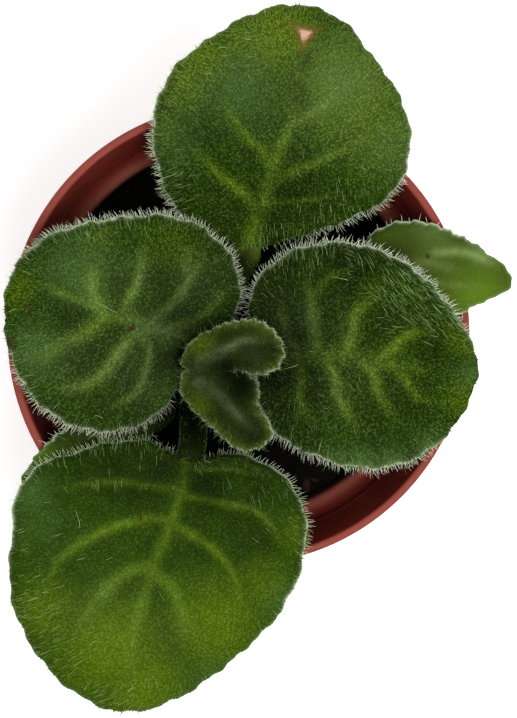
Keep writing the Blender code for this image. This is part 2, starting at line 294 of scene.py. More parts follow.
LEAVES = (
    Leaf(
        name="leaf_top", **OUTER_PAIR, seed=11, centre=(6.3, 31.1), heading=84.0, base=(0.8, 12.8),
        bow=-2.2, spine=(65.4, 67.6, 67.8, 65.2), camber=-1.0, petiole_width=3.8, petiole_depth=2.6,
        root_turn=68.0, wave=0.7, bare_from=0.48, stalk=1.0, stalk_shade=1.15, flare=0.35,
        base_shade=0.35, scar=((9.4, 44.9), (8.8, 41.2)),
        radii=(18.5, 17.5, 17.1, 18.4, 19.3, 19.5, 20, 20, 17.3, 16, 17, 19.2, 19.1, 17.9, 17.2, 18.4),
        veins=veins(
            (1.2, 0.75, (1.3, 13.7), (2.8, 17.7), (3.8, 21.4), (4.9, 25.4), (5.9, 28.4), (7.2, 31.5),
             (7.9, 36)),
            (1.6, 0.9, (0.4, 12.2), (1.3, 14.2), (2.4, 17), (3.4, 20.5)),
            (1, 0.75, (3.1, 18.3), (0.4, 21.3), (-2.6, 23.6), (-5.1, 26.3), (-7.6, 28.7)),
            (0.9, 0.65, (4.4, 24.2), (3.2, 27.4), (1, 29.6), (-0.9, 32.1), (-2.6, 35.5)),
            (0.9, 0.75, (4.4, 22.4), (8, 24.8), (11.7, 26), (15.2, 27.7), (18.9, 29.9)),
            (0.6, 0.6, (3.5, 19.8), (7.3, 20.2), (11, 20.5), (15, 21)),
            (0.9, 0.6, (7.1, 31.4), (9.6, 32.6), (12, 34), (14.4, 35.8)),
        ),
        bare=spots((5, 13.5, 4.5, 0.75)),
        light=spots(
            (-8, 38, 4, 0.7), (16.5, 37.5, 8.5, 1), (21, 31, 7, 0.7), (-11.2, 31.5, 3, 0.5),
            (5, 45.5, 7, 1), (-9, 36.5, 4, 0.5), (-5.5, 42, 5, 0.9), (-0.5, 44.5, 4, 0.8),
        ),
        dark=spots(
            (-6.5, 29.5, 3.5, 0.3), (7.3, 21.9, 3.5, 0.6), (8.7, 35.2, 2.4, 0.5), (9.6, 41, 1.6, 0.5),
        ),
        bloom=spots(
            (-0.2, 37, 6, 0.9), (-10, 29.5, 4.5, 0.7), (15.6, 38.2, 7, 0.8), (22.5, 28.5, 5, 0.8),
            (23, 33.5, 4, 0.4),
        ),
        silver=spots((14, 37.5, 9, 1), (3, 45, 7, 0.8), (-8.5, 36.5, 4.5, 0.7)),
        combed=combs(
            (10.5, 17.5, 6, 0.5, -95), (17, 21.5, 4.5, 0.5, -80), (-11.5, 24, 4.5, 0.7, 200),
            (-9, 40.5, 4.5, 0.6, 150), (0, 43, 3.5, 0.4, 195),
        ),
    ),
    Leaf(
        name="leaf_bottom", **OUTER_PAIR, seed=23, centre=(-12.5, -36.5), heading=-105.0,
        base=(-7.9, -18.8), bow=-1.0, spine=(66.4, 68.0, 67.3, 64.4), camber=-0.8, petiole_width=4.2,
        petiole_depth=2.8, root_turn=256.0, wave=0.6, grid=(160, 50), hairs=0.75, margin_hairs=0.65,
        fringe_pale=0.72, bare_from=0.44, stalk=0.05, stalk_shade=0.8, base_shade=0.5, grain=0.55,
        radii=(21.1, 18.8, 16.9, 16.8, 19, 22, 24.5, 23, 18.4, 21, 22.5, 25, 22.6, 22, 21.5, 21.5),
        veins=veins(
            (1.1, 0.6, (-8, -18.2), (-8.7, -22.3), (-10.1, -27.1), (-11.9, -31.3), (-13.4, -35.3),
             (-14.8, -39.5), (-16, -44.1), (-16.7, -49.3), (-17, -54.6)),
            (0.8, 0.85, (-8.2, -17.5), (-8.5, -20.2), (-9, -23.5), (-10.4, -27.2), (-11.4, -29.8),
             (-13.2, -33.5)),
            (0.8, 0.7, (-9.2, -23), (-13.7, -22.4), (-18.2, -21.8), (-22.6, -21.9), (-26.4, -22.9)),
            (0.9, 0.8, (-10.2, -27.4), (-14.1, -27.3), (-18, -28.2), (-21.5, -29.6), (-24.8, -31.3),
             (-27.5, -33.7), (-29.1, -37.3)),
            (1.2, 0.75, (-12.9, -34.4), (-16.1, -35), (-18.8, -36.5), (-20.9, -38.6), (-22.7, -41.1),
             (-24.2, -44)),
            (0.5, 0.5, (-8, -20.3), (-2.4, -20), (3.4, -21)),
            (0.75, 0.8, (-8.9, -23.9), (-5.7, -24.4), (-2, -25.2), (1.9, -26.1), (4.5, -28.5),
             (5.7, -31.4)),
            (0.9, 0.75, (-10.2, -28.1), (-7.1, -29.9), (-4.1, -31.9), (-1.8, -34.7), (-0.6, -37.8),
             (-0.5, -40.9)),
            (1.1, 0.6, (-12.8, -35.2), (-11, -37), (-9.4, -39.6), (-8.6, -42.3), (-8.2, -45.9)),
        ),
        bare=spots((-8, -18.8, 3.2, 1)),
        light=spots(
            (-20, -47, 9, 0.8), (-15, -53, 8, 0.7), (-16, -36, 8, 0.2), (-29, -41, 6, 0.6),
            (-4, -43, 8, 0.7), (3, -37, 5, 0.5), (8.5, -29.5, 4, 0.5),
        ),
        dark=spots(
            (-5, -22.5, 3.4, 0.9), (-12.5, -20, 3.6, 0.8), (-18, -19.5, 4.5, 0.6), (0, -30.5, 5, 0.4),
        ),
        bloom=spots(
            (-30, -28, 4, 0.4), (-31.8, -23.2, 3.4, 0.8), (6.5, -40, 3, 0.4), (-4.4, -51.7, 3, 0.4),
        ),
        silver=spots((-22, -40.5, 8, 0.3), (-12, -46, 8, 0.25)),
        combed=combs(
            (-31, -40, 4.5, 1.1, 193), (-28, -47, 5, 1.1, 197), (-20, -55, 5, 0.9, 210),
            (2.5, -22, 6, 0.35, -80), (-19, -19.5, 5, 0.4, 95),
        ),
        specks=spots((-15, -27.1, 0.6)),
    ),
    Leaf(
        name="leaf_left", **INNER_PAIR, seed=37, centre=(-17.8, 1.9), heading=178.0, base=(-9.3, -1.8),
        bow=-2.8, spine=(66.4, 69.2, 70.2, 68.4), root_turn=140.0, cup=1.4, bare_from=0.81,
        base_shade=0.5,
        radii=(17.4, 17, 16.9, 16.5, 15.7, 14.4, 12.2, 9.4, 15.6, 18.7, 19, 17.6, 15.9, 15.9, 17.2, 18),
        veins=veins(
            (1.3, 0.85, (-8.3, -1.1), (-11, 0.4), (-13.7, 1.4), (-16.9, 2.6), (-19.9, 2.9),
             (-22.6, 1.4), (-25.5, 0.1), (-29.7, -0.5)),
            (0.85, 1, (-14.3, 1.7), (-11.3, 3.9), (-9.1, 6.4), (-7.4, 9), (-5.1, 11.3)),
            (1, 0.5, (-7.7, 8.5), (-8.3, 10.7), (-8.2, 13)),
            (0.9, 0.9, (-18.1, 2.8), (-16.8, 5.6), (-15.4, 8.4), (-14.8, 11.2), (-14.5, 13.9)),
            (1.2, 0.9, (-20.5, 3.3), (-21.8, 5.7), (-22.2, 7.9), (-21.5, 10.5)),
            (0.8, 0.8, (-20.8, 3.5), (-22.8, 5.1), (-25.5, 5.9), (-28.2, 7.2), (-29.6, 8)),
            (1.05, 1, (-15.6, 0.8), (-17.5, -1.3), (-19.2, -3.6), (-21.4, -6), (-24.1, -7.2),
             (-26.7, -7.6)),
            (0.75, 0.9, (-14.9, 0.4), (-13.8, -2.2), (-14.3, -5), (-15.3, -7.5), (-17.7, -9.6),
             (-21.1, -10.8)),
            (0.9, 0.4, (-12.2, 0.1), (-10.9, -3.1), (-10.9, -6.3), (-11.8, -9.3)),
            (0.9, 0.7, (-12.2, 1.1), (-8.9, 1.8), (-5.8, 3), (-3.6, 5.1), (-2.5, 7.9)),
            (1.3, 0.75, (-20.5, 2.2), (-23.5, 0.6), (-26, -0.7), (-28.5, -2.3), (-30.5, -3.4)),
        ),
        bare=spots((-9, -2.8, 3, 1.8), (-9.6, -7, 3.4, 0.9)),
        light=spots(
            (-10, 13.5, 6, 0.4), (-22, 9, 3, 0.35), (-33.6, 7.1, 3.5, 0.6), (-21.5, 15.5, 4.5, 0.4),
        ),
        dark=spots(
            (-25.5, 3.4, 2.8, 0.7), (-22.8, -3.6, 3.5, 0.6), (-17.5, -6.8, 2.2, 0.5),
            (-6.4, 0.8, 2.6, 0.9), (-9.8, -4.8, 4, 1.1), (-10.2, -3.6, 3.2, 1.5), (-11.5, 9, 2.2, 0.4),
            (-17.8, 8.5, 1.8, 0.5), (-21, -9.8, 4, 0.4), (-9.3, -1, 2.6, 0.9), (-12, -5, 4, 0.6),
            (-10.5, 2.5, 4, 0.85), (-14.5, -1.5, 2.5, 0.4), (-25, 14, 6, 0.2), (-18, -10.5, 5, 0.25),
        ),
        bloom=spots((-24.8, 11, 5.5, 0.8), (-31.5, -2, 4.5, 0.9), (-9.6, -7, 4, 0.5)),
        silver=spots(
            (-12.5, 2, 5, 1), (-7.5, 8, 5, 1), (-15.5, 9, 4, 0.8), (-16, -5, 6, 0.9), (-25, -4, 6, 0.7),
            (-22, 8, 6, 0.6),
        ),
        specks=spots((-34.2, -0.8, 1), (-31.4, 4.6, 0.8, 0.7), (-16.3, 1.5, 0.7, 0.9)),
    ),
    Leaf(
        name="leaf_right", **INNER_PAIR, seed=41, centre=(18.4, -2.8), heading=-4.0, base=(4.4, -3.9),
        bow=0.4, spine=(67.4, 69.2, 69.9, 68.0), root_turn=8.0, cup=1.0, bare_from=0.86,
        base_shade=0.75,
        radii=(17, 15, 14.3, 14.8, 16, 17.7, 19.3, 19.2, 15.6, 17.2, 17.6, 16.7, 16.6, 16.9, 17.1, 17),
        veins=veins(
            (1.4, 0.5, (3, -3.4), (8.6, -3.1), (13.1, -2.7), (16.9, -3), (20.6, -3.8), (23.9, -4.5),
             (27.3, -5.1), (31.1, -5.1)),
            (0.9, 0.5, (8.5, -2.5), (7, 0.8), (6, 3.7), (5.5, 6.3)),
            (1, 0.9, (11.9, -2.7), (11, 0.6), (10.6, 3.6), (10.3, 6), (9.1, 9.1)),
            (0.8, 0.6, (10.6, 4.9), (11.9, 7.6), (13.9, 9.2), (16.4, 10)),
            (1.1, 0.9, (15.5, -2.8), (16.6, 0.4), (17, 3.3), (18.6, 5), (20.7, 7)),
            (1, 0.9, (20.3, -3.6), (22.4, -1.8), (23.9, -0.2), (25.7, 0.6), (28.1, 1.1)),
            (0.9, 0.8, (8.6, -3.3), (9.1, -6.4), (8.8, -8.9), (9.5, -11), (11.6, -13.9)),
            (0.7, 0.5, (9.1, -9.8), (7.9, -13.1)),
            (1, 1, (12.5, -2.8), (13.9, -5.8), (14.5, -8.7), (15.8, -11.5), (18.4, -14.8)),
            (1, 0.9, (17, -3), (19.4, -5.2), (20.3, -7.8), (21.2, -10), (23.5, -12.9)),
            (0.9, 0.9, (22.2, -4.1), (24.1, -6.2), (25.6, -8.3), (28.1, -10.2)),
        ),
        bare=spots((34, -11.5, 5.5, 1.3), (2, 3, 6, 0.4)),
        light=spots((19, 7, 3, 0.4), (33, -9, 4, 0.5), (33.5, 0, 4, 0.5)),
        dark=spots(
            (4.4, 3.5, 3.5, 0.8), (8.7, -1.9, 3, 0.6), (16.1, 7.6, 2.2, 0.6), (13.6, 1.5, 2, 0.4),
            (24.6, -10.8, 2.6, 0.6), (28.5, -1.5, 3, 0.4), (21.5, 2, 2.4, 0.5), (4.6, -9.4, 3.4, 0.7),
            (11.6, -7.5, 1.8, 0.5), (17.4, -7.5, 1.8, 0.5), (16.5, 10.5, 6, 1), (7.5, -5.8, 4, 0.8),
            (7.5, 0, 4.5, 1.1), (22, -14, 6, 0.3), (7.5, 10, 4, 0.6), (4, -6.5, 3, 1.2),
        ),
        bloom=spots(
            (14, -18.9, 2.8, 1), (18, -19.6, 3, 1.2), (22.5, -19.4, 3, 1.3), (28, -17.2, 2.8, 1.1),
            (34.6, -5.4, 2.5, 0.8),
        ),
        silver=spots((8.5, 2, 5, 0.7), (13.5, 1, 4, 0.5), (15, -6, 7, 0.35)),
        combed=combs(
            (24, 8, 6, 1.8, -50), (28.5, 4, 4.5, 1.2, -48), (18, 12, 4, 1.2, -62),
            (9.5, 12, 4.5, 0.9, 95), (10, -13, 4.5, 0.7, -100), (12.5, -8, 3.5, 0.6, -20),
        ),
    ),
    Leaf(
        name="leaf_far_right", **OLD_PAIR, seed=53, centre=(28.7, 9.2), heading=-5.5, base=(15.8, 7.8),
        bow=0.6, spine=(61.6, 63.6, 64.0, 61.8), camber=0.4, root_turn=33.0, grid=(90, 28), hairs=0.0,
        margin_hairs=0.15, stalk=0.6, base_shade=0.55,
        radii=(12.7, 9.5, 7.8, 7.1, 7.4, 8.3, 9.7, 11, 12.6, 12, 10.3, 9, 8, 7.6, 7.6, 9),
        veins=veins(
            (0.7, 0.35, (15.8, 7.8), (24, 8.4), (32, 7.6), (39, 7)),
            (0.8, 1, (29.5, 12.4), (33, 12.6), (36.5, 11.6), (39, 10.2)),
            (1, 0.5, (25, 10.9), (29, 10.8), (33, 9.8)),
        ),
        light=spots((36, 5, 5, 0.8)),
        dark=spots((24.5, 13, 4, 0.6), (28, 12, 5, 0.25)),
        bloom=spots((29, 16.2, 3, 0.6), (36.5, 12.6, 2, 0.9)),
        specks=spots((28.2, 11.9, 0.5, 0.8)),
    ),
    Leaf(
        name="leaf_low_left", **OLD_PAIR, seed=67, centre=(-23.4, -18.5), heading=-155.0,
        base=(-13.4, -13.3), bow=-0.5, spine=(61.2, 63.4, 63.9, 62.6), camber=0.2, root_turn=214.0,
        grid=(80, 24), hairs=0.2, margin_hairs=0.3, stalk=0.0, stalk_shade=1.5, base_shade=0.9,
        radii=(10.4, 9.3, 8, 7.6, 7.4, 7.7, 8.6, 9.7, 11, 8.6, 6.6, 5.6, 5.3, 5.5, 6.1, 7.8),
        veins=veins(
            (0.6, 0.4, (-14, -13.6), (-22, -17.5), (-31, -22)),
        ),
        light=spots((-31, -17.6, 3, 1.2)),
        dark=spots(
            (-13.5, -12.8, 4.5, 1.5), (-23, -14, 7.5, 1.2), (-29, -21, 4.5, 0.8), (-26, -15.5, 6, 0.3),
        ),
    ),
    Leaf(
        name="leaf_young_upper", **YOUNG_PAIR, seed=79, centre=(-0.5, -1.2), heading=-4.0,
        base=(-6.0, -3.6), bow=1.6, spine=(68.2, 71.2, 73.6, 74.6), root_on_top=(0.7, 1.3),
        back=(0.35, -0.1, -1.0),
        radii=(6.3, 5.6, 5, 4.5, 4, 3.9, 4.2, 5, 7.1, 8.9, 6.5, 4.4, 3.5, 4, 5.1, 6.1),
        veins=veins(
            (0.8, 1, (-6, -3.6), (-3.8, -2.6), (-1.8, -1.4), (0, -0.3), (3, -0.2)),
        ),
        bare=spots((-5, -5, 3.6, 1.6)),
        dips=spots((-2.2, -4.6, 1.7, 1.4)),
        light=spots((-6, -0.8, 2.2, 0.9), (3.5, 1, 2, 0.5)),
        dark=spots(
            (-2.6, -4.4, 2.2, 1.5), (0.5, -4.8, 1.7, 0.9), (3.8, -1.2, 2.8, 0.5),
            (-5.6, -4.8, 1.6, 0.5),
        ),
        silver=spots((1.4, -2, 2.6, 1), (-4, -2.9, 2.4, 0.8), (-5.9, -5, 2.4, 1)),
    ),
    Leaf(
        name="leaf_young_lower", **YOUNG_PAIR, seed=83, centre=(-2.2, -10.8), heading=-49.0,
        base=(-6.4, -6.9), bow=1.2, spine=(67.6, 70.2, 72.2, 72.8), root_on_top=(-0.7, -1.3),
        back=(0.2, 0.25, -1.0),
        radii=(7.1, 7.2, 5.1, 4.5, 5.8, 6.2, 6.2, 6.9, 8.4, 7.9, 5.4, 3.9, 3.4, 3.5, 4.3, 6),
        veins=veins(
            (0.8, 1, (-6.4, -6.9), (-4, -8.2), (-2.4, -9.6), (-0.4, -11.8), (2, -14)),
        ),
        bare=spots((-3.2, -4.6, 3.6, 1.6)),
        dips=spots((-2.2, -4.4, 1.8, 1.4), (-0.6, -6.4, 2.4, 1.1)),
        light=spots((-6.8, -9.6, 2.4, 1), (-2, -15.5, 2, 0.4)),
        dark=spots(
            (-2.4, -4.4, 1.9, 1.5), (-0.4, -6.6, 3.8, 1.5), (1.2, -13.8, 2.2, 0.9), (2.6, -10, 2, 0.4),
            (-7.6, -8.6, 1.6, 0.5),
        ),
        silver=spots((-5, -6.8, 2.4, 1.3), (-2.6, -9, 2, 0.9), (1, -11, 2.6, 0.7)),
    ),
)

LEAF_OF = {leaf.name: leaf for leaf in LEAVES}
LEAF_ITEMS = [(leaf.name, leaf.name.replace("_", " ").capitalize(), "") for leaf in LEAVES]

# Finishes of the leaves: upper skin, veins, yellower skin, a painted bluish sheen and grey skin,
# then the underside and the petiole, shaded and yellow.
SKIN_TONES = ("Deep", "Light", "Vein", "Tip", "Bloom", "Silver")
PLANT_TONES = (*SKIN_TONES, "Under", "Stalk", "Ripe stalk")
LEAF_COLOURS = {
    slot: {name: colour(code) for name, code in zip(PLANT_TONES, codes.split())}
    for slot, codes in (
        ("leaf_green", "1a2d00 304b04 607b1a 5a7005 435c2c 607544 5f7c3c 1e2b08 62761c"),
        ("old_leaf_green", "34450d 425612 6f8448 547216 566a38 6f8458 6f8848 2c3a0c 5c6e24"),
        ("young_leaf_green", "182604 28360a 66764e 485c0c 3c4c30 3a4828 566e3a 26330e 3c4c1c"),
    )
}
PEBBLING = {"leaf_green": 1.0, "old_leaf_green": 0.15, "young_leaf_green": 0.4}
HAIR_TINT = (1.9, 1.85, 1.7)
HAIR_MASKS = ("vein", "tone", "silver", "shade", "bloom", "outer", "crowd")
# Dark brown of the painted shade and shadow on the pot's inner wall.
SHADE_BROWN = colour("240d08")


def length_setting(name, description, default):
    """A length that the user may change, in metres."""
    return bpy.props.FloatProperty(
        name=name, description=description, default=default, min=0.0, unit="LENGTH", precision=5
    )


def colour_setting(name, description, default):
    """A colour that the user may change."""
    return bpy.props.FloatVectorProperty(
        name=name, description=description, default=default, subtype="COLOR", min=0.0, max=1.0
    )


def amount_setting(name, description, default):
    """A plain number that the user may change."""
    return bpy.props.FloatProperty(name=name, description=description, default=default, min=0.0)


class LeafSettings(bpy.types.PropertyGroup):
    """How the blades are finished."""

    thickness: length_setting("Thickness", "Through the blade, at its middle", 0.0007)
    quilt: length_setting("Quilting", "How far the blade stands up between veins", 0.0007)
    vein_depth: length_setting("Vein depth", "How far the veins are sunk in the top face", 0.00035)
    margin_curl: length_setting("Margin curl", "How far the margin turns down", 0.0004)
    scallop: length_setting("Scallop", "How far the margin's shallow teeth stand out", 0.00016)
    pebble: length_setting("Pebble size", "From one hair-bearing bump to the next", 0.00042)


class HairSettings(bpy.types.PropertyGroup):
    """The soft hairs on the blades, margins and petioles."""

    width: length_setting("Width", "Through a long hair near its root", 0.00006)
    bristle: length_setting("Bristle", "Through a short hair of the top face, at its foot", 0.00017)
    bristle_length: length_setting("Bristle length", "Of the short hairs of the top face", 0.0008)
    face_length: length_setting("Face length", "Of the long hairs of the top face", 0.0019)
    margin_length: length_setting("Margin length", "Of the long hairs along the margin", 0.0016)
    bristles: amount_setting("Bristles", "Short hairs on each square millimetre", 5.6)
    face_density: amount_setting("Face density", "Long hairs on each square millimetre", 0.8)
    margin_density: amount_setting("Margin density", "Hairs on each millimetre of margin", 11.0)
    fresh: colour_setting("Fresh", "Pale green, of the long hairs of the top face", colour("b4d488"))
    silver: colour_setting("Silver", "Where light comes through a hair", colour("fbf8f0"))


class PotSettings(bpy.types.PropertyGroup):
    """The nursery pot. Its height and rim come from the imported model."""

    lip_width: length_setting("Lip width", "Across the flat top of the rim", 0.0012)
    collar_depth: length_setting("Collar depth", "From the rim down to the step", 0.012)
    wall: length_setting("Wall", "Thickness of the plastic", 0.001)
    hole_radius: length_setting("Drain hole radius", "Of each hole in the base", 0.0026)
    plastic: colour_setting("Plastic", "Reddish brown", colour("641d14"))
    # Paler plastic, for rubbed places and the painted highlight on the lip.
    worn: colour_setting("Worn plastic", "Paler, on edges and handled places", colour("863a2e"))


class MixSettings(bpy.types.PropertyGroup):
    """The potting mix."""

    clod: length_setting("Clod height", "How far the loose top rises and falls", 0.0009)
    crumbs: bpy.props.IntProperty(
        name="Crumbs", description="Loose crumbs on the top", default=900, min=0
    )
    peat: colour_setting("Peat", "Damp and nearly black", colour("090807"))
    fibre: colour_setting("Fibre", "Drier brown bits", colour("241a12"))


class StageSettings(bpy.types.PropertyGroup):
    """Floor, light and camera."""

    floor_colour: colour_setting("Floor", "Pale and plain", (0.97, 0.97, 0.97))
    floor_glow: amount_setting("Floor glow", "Light from under the floor", 0.31)
    sky: amount_setting("Soft light", "All round", 0.86)
    key: amount_setting("Key light", "Watts", 4.1)
    distance: length_setting("Camera distance", "From the rim's plane", 0.45)
    tilt: bpy.props.FloatProperty(
        name="Tilt",
        description="Of the view from straight down",
        default=math.radians(4.5),
        subtype="ANGLE",
    )


def smooth(value):
    """Goes smoothly from 0 to 1 as value does."""
    value = np.clip(value, 0.0, 1.0)
    return value * value * (3.0 - 2.0 * value)


def unit(vectors):
    """The same directions, each of length 1."""
    return vectors / np.maximum(np.linalg.norm(vectors, axis=-1, keepdims=True), 1e-9)


def level_left(ahead):
    """Level vectors across others, on their left."""
    return np.stack([-ahead[:, 1], ahead[:, 0], np.zeros(len(ahead))], 1)


def curve_between(before, start, end, after, share):
    """From start to end on a smooth curve through four values."""
    linear = end - before
    square = 2 * before - 5 * start + 4 * end - after
    cube = 3 * start - before - 3 * end + after
    return start + 0.5 * share * (linear + share * (square + share * cube))


def along_line(where, travelled, values):
    """A line's vectors at some distances along it."""
    return np.stack([np.interp(where, travelled, column) for column in values.T], -1)


def lattice_value(places, seed):
    """A number from 0 to 1 for each whole-number place, the same on every run."""
    mixed = (places.astype(np.int64) * np.array([73856093, 19349663, 83492791])).sum(-1)
    mixed = (mixed + seed * 668265263) & 0x7FFFFFFF
    mixed = ((mixed >> 13) ^ mixed) * 1274126177 & 0x7FFFFFFF
    mixed = ((mixed >> 16) ^ mixed) * 69069 & 0x7FFFFFFF
    return (mixed >> 7 & 0xFFFF) / 0xFFFF


def noise(points, cell, seed):
    """Smooth noise from -1 to 1 over points, with cells of one size."""
    scaled = points / cell + 1000.0
    corner = np.floor(scaled)
    share = smooth(scaled - corner)
    total = 0.0
    for step in np.ndindex(2, 2, 2):
        side = np.array(step)
        weight = np.prod(np.where(side, share, 1.0 - share), axis=-1)
        total = total + weight * lattice_value(corner + side, seed)
    return total * 2.0 - 1.0


def grid_triangles(index, flip=False):
    """Two triangles to each cell of a grid of vertex numbers, without those of no area."""
    a, b, c, d = index[:-1, :-1], index[1:, :-1], index[1:, 1:], index[:-1, 1:]
    halves = [np.stack(corners, -1).reshape(-1, 3) for corners in ([a, b, c], [a, c, d])]
    found = np.concatenate(halves)
    real = (found != np.roll(found, 1, axis=1)).all(1)
    found = found[real]
    return found[:, ::-1] if flip else found


def ring_index(rings, sides, poles=False):
    """Vertex numbers of closed rings of points, with each end drawn to one point at poles."""
    index = np.arange(rings * sides).reshape(rings, sides)
    if poles:
        index[[0, -1]] = index[[0, -1], :1]
    return np.concatenate([index, index[:, :1]], 1)


def vertex_normals(points, triangles):
    """The way each point faces, by the area of the triangles round it."""
    corners = points[triangles]
    faces = np.cross(corners[:, 1] - corners[:, 0], corners[:, 2] - corners[:, 0])
    normals = np.zeros_like(points)
    for k in range(3):
        np.add.at(normals, triangles[:, k], faces)
    return unit(normals)


@dataclass
class Shape:
    """Points and triangles, with a material number for each triangle and masks for each point."""

    points: np.ndarray
    triangles: np.ndarray
    material: int = 0
    masks: dict = field(default_factory=dict)


def add_piece(name, shapes, materials, smooth_faces=True):
    """One object from several shapes, riding on the root, with the materials it is given."""
    starts = np.cumsum([0] + [len(shape.points) for shape in shapes])
    points = np.concatenate([shape.points for shape in shapes])
    triangles = np.concatenate([s.triangles + first for s, first in zip(shapes, starts)])
    numbers = np.concatenate([np.full(len(s.triangles), s.material, np.int32) for s in shapes])
    used, fresh = np.unique(triangles, return_inverse=True)
    points, triangles = points[used], fresh.reshape(-1, 3)

    mesh = bpy.data.meshes.new(name)
    mesh.vertices.add(len(points))
    mesh.vertices.foreach_set("co", (points * MM).astype(np.float32).ravel())
    mesh.loops.add(triangles.size)
    mesh.loops.foreach_set("vertex_index", triangles.astype(np.int32).ravel())
    mesh.polygons.add(len(triangles))
    mesh.polygons.foreach_set("loop_start", np.arange(0, triangles.size, 3, dtype=np.int32))
    mesh.polygons.foreach_set("material_index", numbers)
    mesh.polygons.foreach_set("use_smooth", np.full(len(triangles), smooth_faces))
    for key in sorted({key for shape in shapes for key in shape.masks}):
        values = [np.broadcast_to(s.masks.get(key, 0.0), len(s.points)) for s in shapes]
        layer = mesh.attributes.new(key, "FLOAT", "POINT")
        layer.data.foreach_set("value", np.concatenate(values)[used].astype(np.float32))
    mesh.update(calc_edges=True)
    for material in materials:
        mesh.materials.append(material)
    piece = bpy.data.objects.new(name, mesh)
    bpy.context.scene.collection.objects.link(piece)
    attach(piece, ROOT)
    return piece


def scatter(points, triangles, density, rng):
    """Random places on a surface. density is a number of places to each square millimetre at
    each point. Returns the triangle of each place and the shares of its three corners."""
    corners = points[triangles]
    area = np.linalg.norm(
        np.cross(corners[:, 1] - corners[:, 0], corners[:, 2] - corners[:, 0]), axis=1
    )
    count = rng.poisson(area / 2 * density[triangles].mean(1))
    picked = np.repeat(np.arange(len(triangles)), count)
    first, second = rng.random((2, len(picked)))
    outside = first + second > 1
    first[outside], second[outside] = 1 - first[outside], 1 - second[outside]
    return triangles[picked], np.stack([1 - first - second, first, second], -1)


def at_places(values, places):
    """The values of a mask or of vectors at scattered places."""
    corners, shares = places
    if values.ndim > 1:
        shares = shares[..., None]
    return (values[corners] * shares).sum(1)


def needles(roots, ways, bends, lengths, width, rings, pale, root_pale=0.5, below=None):
    """Three-sided hairs that set out along ways and curve by bends, each closed at its root.

    pale is how silvery each is at its tip, and root_pale the share of it at its root. below holds
    the masks of the skin that each stands on.
    """
    count = len(roots)
    side = unit(np.cross(ways, np.where(np.abs(ways[:, 2:]) > 0.9, [[1.0, 0.0, 0.0]], UP)))
    other = np.cross(ways, side)
    size = rings * 3 + 1
    points = np.empty((count, size, 3))
    tones = np.empty((count, size))
    shares = np.linspace(0.0, 0.75, rings)
    widths = width * (1.0 - shares) ** 0.5
    pattern = [(0, 1, 2)]
    for ring, share in enumerate(shares):
        first = ring * 3
        middle = roots + (ways * share + bends * share**2) * lengths[:, None]
        if ring == 0:
            middle = middle - ways * HAIR_SINK
        radius = widths[ring] / 2
        tones[:, first : first + 3] = (pale * (root_pale + (1.0 - root_pale) * share))[:, None]
        for k in range(3):
            turn = math.tau * k / 3
            points[:, first + k] = middle + radius * (side * math.cos(turn) + other * math.sin(turn))
            low, beside = first + k, first + (k + 1) % 3
            if ring < rings - 1:
                pattern += [(low, low + 3, beside), (beside, low + 3, beside + 3)]
            else:
                pattern.append((low, size - 1, beside))
    points[:, -1] = roots + (ways + bends) * lengths[:, None]
    tones[:, -1] = pale

    starts = np.arange(count)[:, None, None] * size
    triangles = (np.array(pattern)[None] + starts).reshape(-1, 3)
    masks = {key: np.repeat(values, size) for key, values in (below or {}).items()}
    return Shape(points.reshape(-1, 3), triangles, masks={"pale": tones.ravel(), **masks})


def radius_at(leaf, turn):
    """The blade's radius at an angle from its tip, on a smooth curve through the leaf's radii."""
    radii = np.array(leaf.radii, float)
    place = (turn / RADII_STEP) % len(radii)
    first = place.astype(int)
    around = (radii[(first + k) % len(radii)] for k in (-1, 0, 1, 2))
    return curve_between(*around, place - first)


def margin_point(leaf, turn, scallop=0.0):
    """The margin from above at an angle from the tip, with its shallow teeth."""
    turn = np.asarray(turn, float)
    angle = math.radians(leaf.heading) + turn
    teeth = np.sin(19 * turn + leaf.seed) + 0.6 * np.sin(43 * turn + 2 * leaf.seed)
    radius = radius_at(leaf, turn) + scallop * teeth
    return np.array(leaf.centre) + radius[..., None] * np.stack([np.cos(angle), np.sin(angle)], -1)


def midrib_point(leaf, share):
    """The midrib from above: an arc-like curve from the base to the tip, bowed to its left."""
    share = np.asarray(share, float)[..., None]
    base = np.array(leaf.base)
    along = margin_point(leaf, 0.0) - base
    left = np.array([-along[1], along[0]]) / np.linalg.norm(along)
    return base + along * share + left * leaf.bow * 4.0 * share * (1.0 - share)


def base_turn(leaf):
    """The angle from the tip to the base, seen from the blade's middle, going by the left."""
    to_base = np.array(leaf.base) - np.array(leaf.centre)
    return (math.atan2(to_base[1], to_base[0]) - math.radians(leaf.heading)) % math.tau


def spine_height(leaf, share):
    """The midrib's height, on the cubic through the four heights of leaf.spine."""
    share = np.clip(share, 0.0, 1.0)
    knots = (0.0, 1 / 3, 2 / 3, 1.0)
    height = 0.0
    for k, value in enumerate(leaf.spine):
        weight = 1.0
        for j, knot in enumerate(knots):
            if j != k:
                weight = weight * (share - knot) / (knots[k] - knot)
        height = height + weight * value
    return height


def blade_plan(leaf, side, station, row, scallop=0.0):
    """Places on a blade from above, with the angle, midrib share and reach of their spokes."""
    from_base = np.where(side > 0, base_turn(leaf) + leaf.lap, base_turn(leaf) - math.tau - leaf.lap)
    turn = from_base * (1.0 - station)
    inner = midrib_point(leaf, station**SPOKE_LEAN)
    outer = margin_point(leaf, turn, scallop)
    outer = np.where((station > 0)[..., None], outer, np.array(leaf.base))
    flat = inner + (outer - inner) * row[..., None]
    along = margin_point(leaf, 0.0) - np.array(leaf.base)
    share = ((flat - np.array(leaf.base)) @ along) / (along @ along)
    return flat, turn, share, np.linalg.norm(outer - inner, axis=-1)


